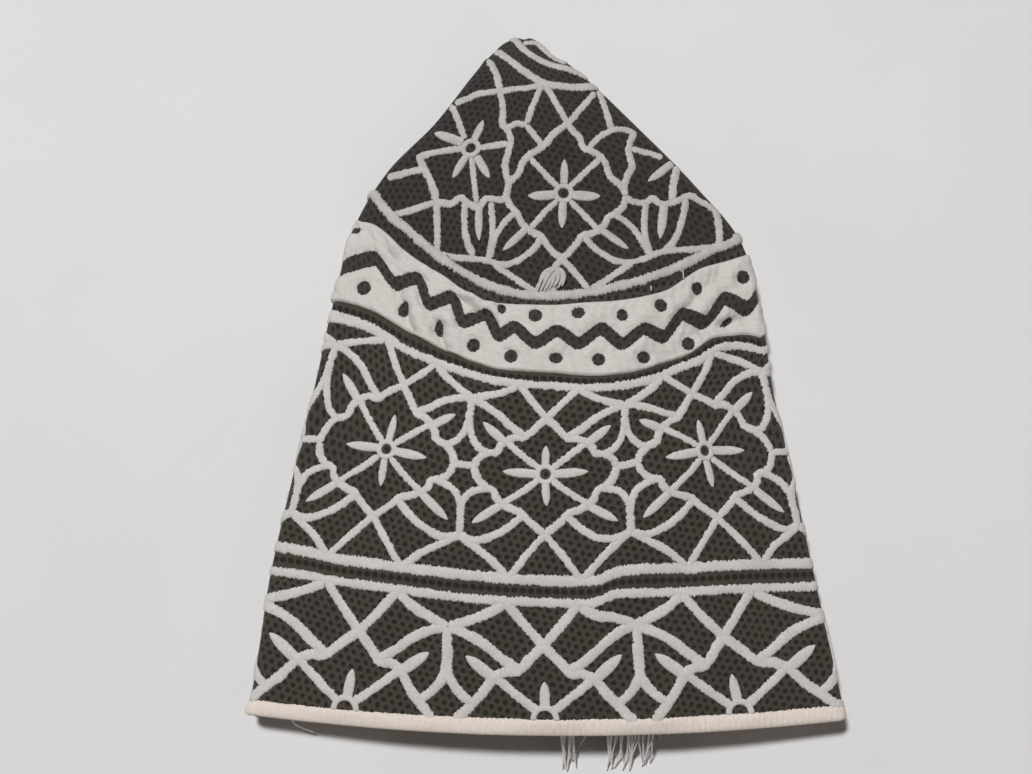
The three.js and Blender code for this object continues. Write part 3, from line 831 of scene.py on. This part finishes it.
crown_thread = Thread()
round_line(crown_thread, seam, 10.6, 1.1)
for kind, wide, pts in CROWN:
    if kind == "ring":
        hl = view_points([pts[0]])[0]
        crown_thread.ring(hl, pts[1], wide)
        back = (hl[0], float(form.reach(np.array([hl[0]]))[0]) - hl[1])
        crown_thread.ring(back, pts[1], wide)
        continue
    hl = view_points(pts)
    back = np.stack([hl[:, 0], form.reach(hl[:, 0]) - hl[:, 1]], axis=1)
    for places, step in ((hl, 0.4), (back, 1.0)):
        if kind == "line":
            crown_thread.line(places, wide * 1.08, step=step)
        else:
            crown_thread.petal(places, wide * 1.05, step=step)

# the knot where the thread was tied off, below the middle flower, and a wisp beside the band
KNOT = [
    [(557, 268), (549, 271), (543, 276), (539, 285)], [(557, 269), (549, 274), (542, 281), (537, 292.5)],
    [(557, 269), (551, 275), (546, 283), (540.5, 293)], [(557, 269), (552.5, 277), (549, 284), (544.5, 292)],
    [(557, 269), (555, 277), (553, 284), (549, 290.5)], [(557, 269), (558, 276), (557.5, 283), (553.5, 288.5)],
    [(557, 269), (560.5, 275), (561.5, 282), (558, 289)], [(558, 269), (562, 273), (564, 279), (562, 287)],
    [(557, 269), (553, 273), (547, 277), (541.5, 284)], [(556, 270), (559, 272), (556, 276), (552, 279)],
]
c = curve(view_points([(557, 268), (553, 276), (549.5, 284), (547, 291)]), 0.3)
u = np.linspace(0, 1, len(c))
crown_thread.add(c, (1.6 + 8.0 * np.sin(math.pi * np.clip(u * 0.62, 0, 1)) ** 1.2) * PXU, 0.9 * np.sin(math.pi * np.clip(u * 0.86 + 0.06, 0, 1)), 0.15, 0.25)
for k, pts in enumerate(KNOT):
    c = curve(view_points(pts), 0.3)
    u = np.linspace(0, 1, len(c))
    lift = 0.5 + (0.9 + 0.35 * (k % 3)) * np.sin(math.pi * u) ** 0.8
    crown_thread.add(c, (3.6 + 0.6 * (k % 2)) * PXU / 2 * (1 - 0.5 * u**6), 0.55, 0.05, lift)
for pts in ([(682, 271), (682.4, 280)], [(650, 287), (650.6, 292)]):
    c = curve(view_points(pts), 0.4)
    border_thread.add(c, 0.17, 0.25, 0.02, 0.9)

wall_stitch = wall_thread.make("wall_embroidery")
border_stitch = border_thread.make("border_lines")
crown_stitch = crown_thread.make("crown_embroidery")


# ---------------------------------------------------------------- the white band with its zigzag
def rounded(points):
    """Cuts the corners of a run of places, twice."""
    for share in (0.1, 0.25):
        a, b = points[:-1], points[1:]
        cut = np.stack([a + (b - a) * share, b + (a - b) * share], axis=1).reshape(-1, 2)
        points = np.concatenate([points[:1], cut[1:-1], points[-1:]])
    return points


def band():
    full = float(form.reach(np.array([125.0]))[0])
    l = np.concatenate([np.arange(-full, -88, 0.9), np.arange(-88, 88, 0.34), np.arange(88, full, 0.9), [full]])
    rows = 66
    v = np.linspace(0, 1, rows)
    low, top = band_low(l), band_top(l)
    h = low[None, :] + (top - low)[None, :] * v[:, None]
    ll = np.broadcast_to(l[None, :], h.shape)
    # distance to the dark parts, in millimetres, negative inside them
    dark = np.full(h.shape, 9.0)
    zig = view_points(ZIGZAG)
    left, right = zig[0], zig[-1]
    runs = [rounded(zig)]
    for start, sign in ((right, 1), (left, -1)):
        pts = [start]
        pos, k = start[1], 0
        level = (band_low.level + band_top.level) / 2
        while abs(pos) < full + 10:
            pos += sign * 7.1
            k += 1
            up = -1 if k % 2 else 1
            near = smooth(np.array(abs(pos - start[1])), 0, 25)
            hh = (start[0] + (0 if up > 0 else -5.5)) * (1 - near) + (level + up * 3.1) * near
            pts.append((float(hh), pos))
        runs.append(rounded(np.array(pts)))
    for run in runs:
        for a, b in zip(run[:-1], run[1:]):
            sel = np.abs(l - (a[1] + b[1]) / 2) < 14
            if sel.any():
                d, _ = seg_dist(h[:, sel], ll[:, sel], a, b)
                dark[:, sel] = np.minimum(dark[:, sel], d - ZIG_HALF * PX)
    for x, y, rx, ry, turn in DOTS:
        c = view_points([(x, y)])[0]
        sel = np.abs(l - c[1]) < 6
        dl, dh = ll[:, sel] - c[1], h[:, sel] - c[0]
        a = math.radians(turn)
        size, skew, rise = true_steps(c[0], c[1])
        dl, dh = dl * size + dh * skew, dh * rise
        u = (dl * math.cos(a) + dh * math.sin(a)) / (rx * PXU)
        w = (-dl * math.sin(a) + dh * math.cos(a)) / (ry * PXU)
        dark[:, sel] = np.minimum(dark[:, sel], (np.hypot(u, w) - 1) * min(rx, ry) * PXU)
    for start, sign in ((right[1], 1), (left[1], -1)):
        k = 1
        while abs(start + sign * 14.2 * k) < full - 3:
            pos = start + sign * 14.2 * (k + (0.0 if k % 2 else 0.0))
            for off, row in ((0.0, 0.22), (7.1, 0.8)):
                sel = np.abs(l - pos - sign * off) < 6
                if sel.any():
                    mid = low[sel] + (top - low)[sel] * row
                    d = np.hypot(ll[:, sel] - pos - sign * off, h[:, sel] - mid[None, :]) - 1.95
                    dark[:, sel] = np.minimum(dark[:, sel], d)
            k += 1
    fray = 0.07 * np.sin(ll * 5.1 + 1.7 * np.sin(h * 1.3)) + 0.06 * np.sin(h * 5.7 + 1.1 * np.sin(ll * 1.1)) + 0.12 * rng.uniform(-1, 1, h.shape)
    dark = dark + fray * (dark < 4)
    raised = smooth(dark, -0.1, 0.5)
    edge = smooth(np.minimum(v, 1 - v)[:, None] * (top - low)[None, :], 0, 0.6)
    pad = smooth(dark, 0.2, 2.4)
    ripple = 0.07 * np.sin(ll * 1.9 + 2 * np.sin(h * 0.5)) + 0.06 * np.sin(h * 2.3 + ll * 0.4)
    pucker = np.sin(ll * 0.58 + 1.6 * np.sin(h * 0.27)) * np.sin(h * 0.47 + 0.21 * ll + 1.2 * np.sin(ll * 0.19))
    pucker = pucker * (0.16 + 0.2 * smooth(-ll, 5, 50)) * (1 - smooth(np.abs(ll), 80, 88))
    tall = 0.04 + raised * edge * (0.5 + 0.35 * pad + ripple + pucker) - (1 - edge) * 0.14
    p, n = form.at(h, ll)
    q = p + n * tall[..., None]
    q[..., 2] = np.maximum(q[..., 2], 0.02)
    cols = len(l)
    return new_mesh(
        "zigzag_band", q.reshape(-1, 3), quads(rows, cols, wrap=True, flip=False),
        {"cloth": np.stack([ll, h], axis=-1).reshape(-1, 2)}, {"dark": dark.ravel()},
    )


band_piece = band()


# ---------------------------------------------------------------- the bound hem
def binding():
    full = float(form.reach(np.array([2.0]))[0])
    l = np.concatenate([np.arange(-full, -94, 0.8), np.arange(-94, 94, 0.4), np.arange(94, full, 0.8), [full]])
    k = 18
    a = np.linspace(0, 2 * math.pi, k, endpoint=False)
    e = 2 / 2.7
    ch = np.sign(np.cos(a)) * np.abs(np.cos(a)) ** e
    cn = np.sign(np.sin(a)) * np.abs(np.sin(a)) ** e
    rib = 0.5 + 0.5 * np.sin(2 * math.pi * l / 1.9 + 1.3 * np.sin(l * 0.21) + 0.6 * np.sin(l * 0.53))
    rough = rng.uniform(-1, 1, len(l))
    half_h = 2.68 + 0.04 * rough
    half_n = 1.42 + 0.1 * rib + 0.025 * rough
    top_jag = 0.22 * rng.uniform(-1, 1, len(l))
    high = 2.18 + half_h[:, None] * ch[None, :] + top_jag[:, None] * np.clip(ch, 0, 1)[None, :] ** 3
    off = -0.78 + half_n[:, None] * cn[None, :]
    ll = np.broadcast_to(l[:, None], high.shape)
    past = (form.reach(np.maximum(high, 0).ravel()).reshape(high.shape) - 94) / (full - 94)
    ll = np.where(np.abs(ll) > 94, np.sign(ll) * (94 + (np.abs(ll) - 94) * past), ll)
    p, n = form.at(np.maximum(high, 0), ll)
    edge, inner = form.at(np.zeros(len(l)), l)[0], form.at(np.ones(len(l)), l)[0]
    p = p + (edge - inner)[:, None] * np.maximum(-high, 0)[..., None]
    q = p + n * off[..., None]
    q[..., 2] = np.maximum(q[..., 2], 0.02)
    q[-1] = q[0]  # the loop closes on itself
    u = np.broadcast_to((a / (2 * math.pi) * 14.0)[None, :], high.shape)
    return new_mesh(
        "hem_stitching", q.reshape(-1, 3), quads(len(l), k, wrap=True, flip=False),
        {"stitch": np.stack([ll, u], axis=-1).reshape(-1, 2)},
    )


hem = binding()


# ---------------------------------------------------------------- loose thread ends at the hem
def strands(name, runs):
    """Thin round threads; runs: (places in mm, radius)."""
    v, f, uv, n, k = [], [], [], 0, 6
    a = np.linspace(0, 2 * math.pi, k, endpoint=False)
    for pts, r in runs:
        c = curve(pts, 0.5)
        m = len(c)
        t = unit(np.gradient(c, axis=0))
        side = unit(np.cross(t, [0.13, 0.07, 1.0]))
        up = np.cross(side, t)
        rr = r * (1 - 0.35 * np.linspace(0, 1, m) ** 4)
        ring = c[:, None] + rr[:, None, None] * (np.cos(a)[None, :, None] * side[:, None] + np.sin(a)[None, :, None] * up[:, None])
        ring[..., 2] = np.maximum(ring[..., 2], 0.01)
        idx = n + np.arange(m * k).reshape(m, k)
        v += [ring.reshape(-1, 3), c[:1], c[-1:]]
        uv.append(np.stack([np.repeat(np.arange(m) * 0.5, k), np.tile(np.arange(k) * 0.3, m)], axis=1))
        uv.append(np.zeros((2, 2)))
        f.append(quads(m, k, base=n, wrap=True))
        first, last = n + m * k, n + m * k + 1
        nxt = (np.arange(k) + 1) % k
        f.append(np.stack([idx[0], np.full(k, first), idx[0][nxt]], axis=1))
        f.append(np.stack([idx[-1][nxt], np.full(k, last), idx[-1]], axis=1))
        n += m * k + 2
    four = np.concatenate([x for x in f if x.shape[1] == 4])
    three = np.concatenate([x for x in f if x.shape[1] == 3])
    return new_mesh(name, np.concatenate(v), [four, three], {"stitch": np.concatenate(uv)})


def from_px(points):
    return np.concatenate([unproject(np.array([x], float), np.array([y], float), z) for x, y, z in points])


LOOSE = [
    ([(291, 716, 15.0), (292.5, 721, 12.0), (297, 725.5, 8.0), (305, 729, 5.0), (314, 732.4, 3.5)], 0.3),
    ([(590, 722, 18.8), (585, 737, 10.0), (580, 745, 1.4), (576, 752, 0.3)], 0.24),
    ([(608, 722, 18.8), (610, 736, 10.0), (611, 744, 1.0), (612.5, 750, 0.3)], 0.24),
    ([(622, 722, 18.8), (626, 735, 10.0), (630, 740, 1.5), (633, 744, 0.3)], 0.22),
    ([(657, 722, 18.6), (659, 732, 11.0), (660, 737, 2.0), (660.5, 740, 0.6)], 0.22),
]
for k in range(26):
    x0 = (560, 572, 609, 618, 631, 640, 649)[k % 7] + rng.uniform(-4, 4)
    x1 = x0 + rng.uniform(-7, 5)
    LOOSE.append((
        [(x0 + 3, 722, 18.8), (x0 + 1, 738, 12.0), ((x0 + x1) / 2 + rng.uniform(-3, 3), 753, 5.0), (x1, 761 + rng.uniform(0, 10), 0.6)],
        0.3 + 0.05 * rng.uniform(-1, 1),
    ))
loose = strands("loose_threads", [(from_px(pts), r) for pts, r in LOOSE])


# ---------------------------------------------------------------- materials
def srgb(r, g, b, k=1.0):
    out = []
    for c in (r, g, b):
        c /= 255
        out.append(k * (c / 12.92 if c <= 0.04045 else ((c + 0.055) / 1.055) ** 2.4))
    return (*out, 1.0)


class Nodes:
    """Short names for the nodes of one material."""

    def __init__(self, name):
        self.mat = bpy.data.materials.new(name)
        self.mat.use_nodes = True
        self.t = self.mat.node_tree
        self.t.nodes.clear()
        self.out = self.t.nodes.new("ShaderNodeOutputMaterial")
        self.bsdf = self.t.nodes.new("ShaderNodeBsdfPrincipled")
        self.t.links.new(self.bsdf.outputs[0], self.out.inputs["Surface"])

    def link(self, a, b):
        self.t.links.new(a, b)

    def put(self, socket, value):
        if isinstance(value, bpy.types.NodeSocket):
            self.link(value, socket)
        else:
            socket.default_value = value

    def math(self, op, a, b=None, c=None, clamp=False):
        n = self.t.nodes.new("ShaderNodeMath")
        n.operation = op
        n.use_clamp = clamp
        for s, v in zip(n.inputs, (a, b, c)):
            if v is not None:
                self.put(s, v)
        return n.outputs[0]

    def vmath(self, op, a, b=None, scale=None):
        n = self.t.nodes.new("ShaderNodeVectorMath")
        n.operation = op
        self.put(n.inputs[0], a)
        if b is not None:
            self.put(n.inputs[1], b)
        if scale is not None:
            self.put(n.inputs["Scale"], scale)
        return n.outputs["Value"] if op in ("LENGTH", "DISTANCE", "DOT_PRODUCT") else n.outputs["Vector"]

    def uv(self, layer):
        n = self.t.nodes.new("ShaderNodeUVMap")
        n.uv_map = layer
        return n.outputs[0]

    def coord(self):
        return self.t.nodes.new("ShaderNodeTexCoord").outputs["Object"]

    def noise(self, vec, scale, detail=3, rough=0.55, out="Fac"):
        n = self.t.nodes.new("ShaderNodeTexNoise")
        self.put(n.inputs["Vector"], vec)
        n.inputs["Scale"].default_value = scale
        n.inputs["Detail"].default_value = detail
        n.inputs["Roughness"].default_value = rough
        return n.outputs[out]

    def wave(self, vec, scale, distort=0.0, dscale=1.0, direction="X", profile="SIN"):
        n = self.t.nodes.new("ShaderNodeTexWave")
        n.bands_direction = direction
        n.wave_profile = profile
        self.put(n.inputs["Vector"], vec)
        n.inputs["Scale"].default_value = scale
        n.inputs["Distortion"].default_value = distort
        n.inputs["Detail"].default_value = 2
        n.inputs["Detail Scale"].default_value = dscale
        return n.outputs["Fac"]

    def range(self, v, a, b, lo=0.0, hi=1.0, kind="SMOOTHSTEP"):
        n = self.t.nodes.new("ShaderNodeMapRange")
        n.interpolation_type = kind
        self.put(n.inputs["Value"], v)
        for key, val in (("From Min", a), ("From Max", b), ("To Min", lo), ("To Max", hi)):
            self.put(n.inputs[key], val)
        return n.outputs["Result"]

    def mix(self, fac, a, b, kind="MIX"):
        n = self.t.nodes.new("ShaderNodeMix")
        n.data_type = "RGBA"
        n.blend_type = kind
        self.put(n.inputs["Factor"], fac)
        self.put(n.inputs[6], a)
        self.put(n.inputs[7], b)
        return n.outputs[2]

    def attr(self, name):
        n = self.t.nodes.new("ShaderNodeAttribute")
        n.attribute_name = name
        return n.outputs["Fac"]

    def bump(self, height, distance, strength=1.0, normal=None):
        n = self.t.nodes.new("ShaderNodeBump")
        n.inputs["Strength"].default_value = strength
        n.inputs["Distance"].default_value = distance
        self.put(n.inputs["Height"], height)
        if normal is not None:
            self.put(n.inputs["Normal"], normal)
        return n.outputs[0]


def eyelets(m, uv, rows=False):
    """Distance to the nearest eyelet in mm, for a staggered lattice; single file in the dark stripes."""
    soft = m.vmath("SCALE", m.vmath("SUBTRACT", m.noise(uv, 0.12, 2, out="Color"), (0.5, 0.5, 0.5)), scale=1.9)
    fine = m.vmath("SCALE", m.vmath("SUBTRACT", m.noise(uv, 0.55, 1, out="Color"), (0.5, 0.5, 0.5)), scale=0.8)
    p = m.vmath("ADD", m.vmath("ADD", uv, soft), fine)
    turn = m.t.nodes.new("ShaderNodeVectorRotate")
    turn.rotation_type = "Z_AXIS"
    turn.inputs["Angle"].default_value = 0.21
    m.link(p, turn.inputs["Vector"])
    p = turn.outputs[0]
    wide, tall = 2.6, 4.3
    dist = []
    for shift in ((0.0, 0.0, 0.0), (0.5, 0.5, 0.0)):
        f = m.vmath("FRACTION", m.vmath("ADD", m.vmath("DIVIDE", p, (wide, tall, 1.0)), shift))
        d = m.vmath("MULTIPLY", m.vmath("SUBTRACT", f, (0.5, 0.5, 0.0)), (wide, tall, 0.0))
        dist.append(m.vmath("LENGTH", d))
    d = m.math("MINIMUM", dist[0], dist[1])
    if rows:
        off = m.attr("row_off")
        part = m.t.nodes.new("ShaderNodeSeparateXYZ")
        m.link(uv, part.inputs[0])
        x = m.math("MULTIPLY", m.math("SUBTRACT", m.math("FRACT", m.math("DIVIDE", part.outputs[0], 2.55)), 0.5), 2.55)
        single = m.math("SQRT", m.math("ADD", m.math("MULTIPLY", x, x), m.math("MULTIPLY", m.math("MULTIPLY", off, off), 1.3)))
        single = m.math("MULTIPLY", single, 0.72)
        inside = m.range(m.math("ABSOLUTE", off), 1.9, 2.1)
        mix = m.t.nodes.new("ShaderNodeMix")
        mix.data_type = "FLOAT"
        m.link(inside, mix.inputs["Factor"])
        m.link(single, mix.inputs[2])
        m.link(d, mix.inputs[3])
        d = mix.outputs[0]
    return d


def ground_colour(m, uv, rows=False, deep=0.0, cool=False):
    d = eyelets(m, uv, rows)
    hole = m.range(d, 0.44, 1.1)
    rimmed = m.range(d, 1.0, 1.4)
    grain = m.noise(uv, 2.6, 4, 0.7)
    weave = m.math("MULTIPLY", m.wave(uv, 1.05, 1.2, 2.0, "X"), m.wave(uv, 1.05, 1.2, 2.0, "Y"))
    patch = m.noise(uv, 0.035, 3)
    tones = (srgb(55, 53, 51), srgb(58, 56, 52)) if cool else (srgb(70, 65, 59), srgb(73, 69, 60))
    web = m.mix(m.range(patch, 0.35, 0.68), *tones)
    web = m.mix(m.range(grain, 0.3, 0.75), m.mix(0.5, web, srgb(45, 41, 37)), web)
    web = m.mix(m.math("MULTIPLY", rimmed, 0.35), web, srgb(52, 48, 43))
    if deep:
        web = m.mix(deep, web, srgb(44, 40, 36))
    col = m.mix(hole, srgb(34, 31, 28), web)
    high = m.math("ADD", m.range(d, 0.2, 0.95), m.math("MULTIPLY", grain, 0.4))
    high = m.math("ADD", high, m.math("MULTIPLY", weave, 0.15))
    return col, high


def thread_colour(m, uv, pitch=0.42, tint=(206, 200, 195), dim=(168, 160, 153)):
    """Satin stitches that cross a line: fine parallel threads with slight changes of tone."""
    lines = m.wave(uv, 1 / pitch / 6.2832 * 3.14159, 0.5, 1.3, "X")
    strand = m.noise(m.vmath("MULTIPLY", uv, (5.2, 0.55, 1.0)), 1.0, 3, 0.7)
    tone = m.noise(uv, 0.16, 3)
    col = m.mix(m.range(strand, 0.3, 0.7), srgb(*dim), srgb(*tint))
    col = m.mix(m.range(tone, 0.3, 0.75, 0.0, 0.35), col, srgb(214, 207, 200))
    high = m.math("ADD", m.math("MULTIPLY", strand, 0.9), m.math("MULTIPLY", lines, 0.35))
    return col, high


def finish_cloth(m, col, bump, rough, sheen, tint=(0.9, 0.88, 0.85, 1)):
    m.put(m.bsdf.inputs["Base Color"], col)
    m.bsdf.inputs["Roughness"].default_value = rough
    m.bsdf.inputs["Specular IOR Level"].default_value = 0.25
    m.bsdf.inputs["Sheen Weight"].default_value = sheen
    m.bsdf.inputs["Sheen Roughness"].default_value = 0.5
    m.bsdf.inputs["Sheen Tint"].default_value = tint
    m.put(m.bsdf.inputs["Normal"], bump)


def ground_material(name, rows):
    m = Nodes(name)
    col, high = ground_colour(m, m.uv("cloth"), rows, 0.0, not rows)
    finish_cloth(m, col, m.bump(high, 0.00035, 0.9), 0.92, 0.12, (0.8, 0.76, 0.7, 1))
    return m.mat


def stitch_material(name, tint, dim):
    m = Nodes(name)
    col, high = thread_colour(m, m.uv("stitch"), 0.42, tint, dim)
    finish_cloth(m, col, m.bump(high, 0.00016, 0.8), 0.78, 0.2)
    return m.mat


def band_material():
    m = Nodes("white_band")
    uv = m.uv("cloth")
    dark, dark_high = ground_colour(m, uv, False, 0.55)
    turned = m.vmath("MULTIPLY", uv, (0.55, 4.6, 1.0))
    strand = m.noise(turned, 1.0, 3, 0.7)
    tone = m.noise(uv, 0.11, 3)
    white = m.mix(m.range(strand, 0.3, 0.7), srgb(178, 173, 169), srgb(203, 199, 196))
    white = m.mix(m.range(tone, 0.35, 0.7, 0.0, 0.5), white, srgb(194, 190, 187))
    jag = m.math("MULTIPLY", m.math("SUBTRACT", m.noise(uv, 2.4, 3, 0.7), 0.5), 0.75)
    edge = m.range(m.math("ADD", m.attr("dark"), jag), 0.1, 0.3)
    col = m.mix(edge, dark, white)
    high = m.math("ADD", m.math("MULTIPLY", edge, m.math("ADD", 1.2, m.math("MULTIPLY", strand, 0.5))), m.math("MULTIPLY", m.math("SUBTRACT", 1.0, edge), m.math("MULTIPLY", dark_high, 0.5)))
    finish_cloth(m, col, m.bump(high, 0.0003, 0.7), 0.8, 0.18)
    return m.mat


def floor_material():
    m = Nodes("pale_floor")
    v = m.coord()
    n = m.noise(v, 9.0, 3)
    col = m.mix(m.range(n, 0.3, 0.7), srgb(206, 206, 207), srgb(209, 209, 210))
    m.put(m.bsdf.inputs["Base Color"], col)
    m.bsdf.inputs["Roughness"].default_value = 0.9
    m.bsdf.inputs["Specular IOR Level"].default_value = 0.15
    return m.mat


wall.data.materials.append(ground_material("wall_ground", True))
crown.data.materials.append(ground_material("crown_ground", False))
# painted light: the loose threads get a near-white colour, brighter than the embroidery thread's own, so that they
# show as lit where they cross the hem's shadow
loose.data.materials.append(stitch_material("loose_thread", (236, 234, 232), (218, 216, 213)))
for piece in (wall_stitch, border_stitch):
    piece.data.materials.append(stitch_material(piece.name + "_thread", (206, 203, 202), (172, 169, 167)))
crown_stitch.data.materials.append(stitch_material("crown_embroidery_thread", (188, 186, 184), (154, 152, 150)))
band_piece.data.materials.append(band_material())
# painted light: the hem's white thread is made brighter than the embroidery thread's, standing in for light that the
# binding's outward face, turned away from the key light, does not get
hem.data.materials.append(stitch_material("hem_thread_painted_light", (228, 219, 211), (200, 188, 179)))

# ---------------------------------------------------------------- stage, light and camera
floor_mesh = bpy.data.meshes.new("studio_floor")
floor_mesh.from_pydata([(-3, -3, 0), (3, -3, 0), (3, 3, 0), (-3, 3, 0)], [], [(0, 1, 2, 3)])
floor = bpy.data.objects.new("studio_floor", floor_mesh)
bpy.context.scene.collection.objects.link(floor)
floor.data.materials.append(floor_material())


def area(name, place, aim, size, power, colour):
    data = bpy.data.lights.new(name, "AREA")
    data.shape = "RECTANGLE"
    data.size, data.size_y = size
    data.energy = power
    data.color = colour
    ob = bpy.data.objects.new(name, data)
    bpy.context.scene.collection.objects.link(ob)
    ob.location = place
    d = np.array(aim) - np.array(place)
    from mathutils import Vector

    ob.rotation_euler = Vector(d).to_track_quat("-Z", "Y").to_euler()
    return ob


area("key_light", (-0.46, 0.66, 2.2), (0.0, 0.0, 0.0), (0.3, 0.26), 57.0, (1.0, 0.997, 0.993))
area("fill_light", (0.9, -0.3, 1.1), (0.0, 0.0, 0.0), (0.9, 0.9), 1.3, (1.0, 0.9, 0.8))

world = bpy.context.scene.world or bpy.data.worlds.new("studio")
bpy.context.scene.world = world
world.use_nodes = True
background = world.node_tree.nodes.get("Background") or world.node_tree.nodes.new("ShaderNodeBackground")
background.inputs["Color"].default_value = (1.0, 0.88, 0.76, 1)
background.inputs["Strength"].default_value = 0.075

bpy.context.scene.view_settings.view_transform = "Standard"
camera = bpy.data.objects.new("camera", bpy.data.cameras.new("camera"))
bpy.context.scene.collection.objects.link(camera)
camera.data.lens = LENS
camera.data.sensor_width = SENSOR
camera.data.clip_start = 0.01
camera.location = tuple(EYE / 1000)
camera.rotation_euler = (math.radians(90 - 80), 0, 0)
bpy.context.scene.camera = camera

# ---------------------------------------------------------------- riding, and hiding the parts these replace
for piece in (wall, crown, wall_stitch, border_stitch, crown_stitch, band_piece, hem, loose):
    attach(piece, "root")
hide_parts("side_wall")
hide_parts("crown")
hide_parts("hem_binding")
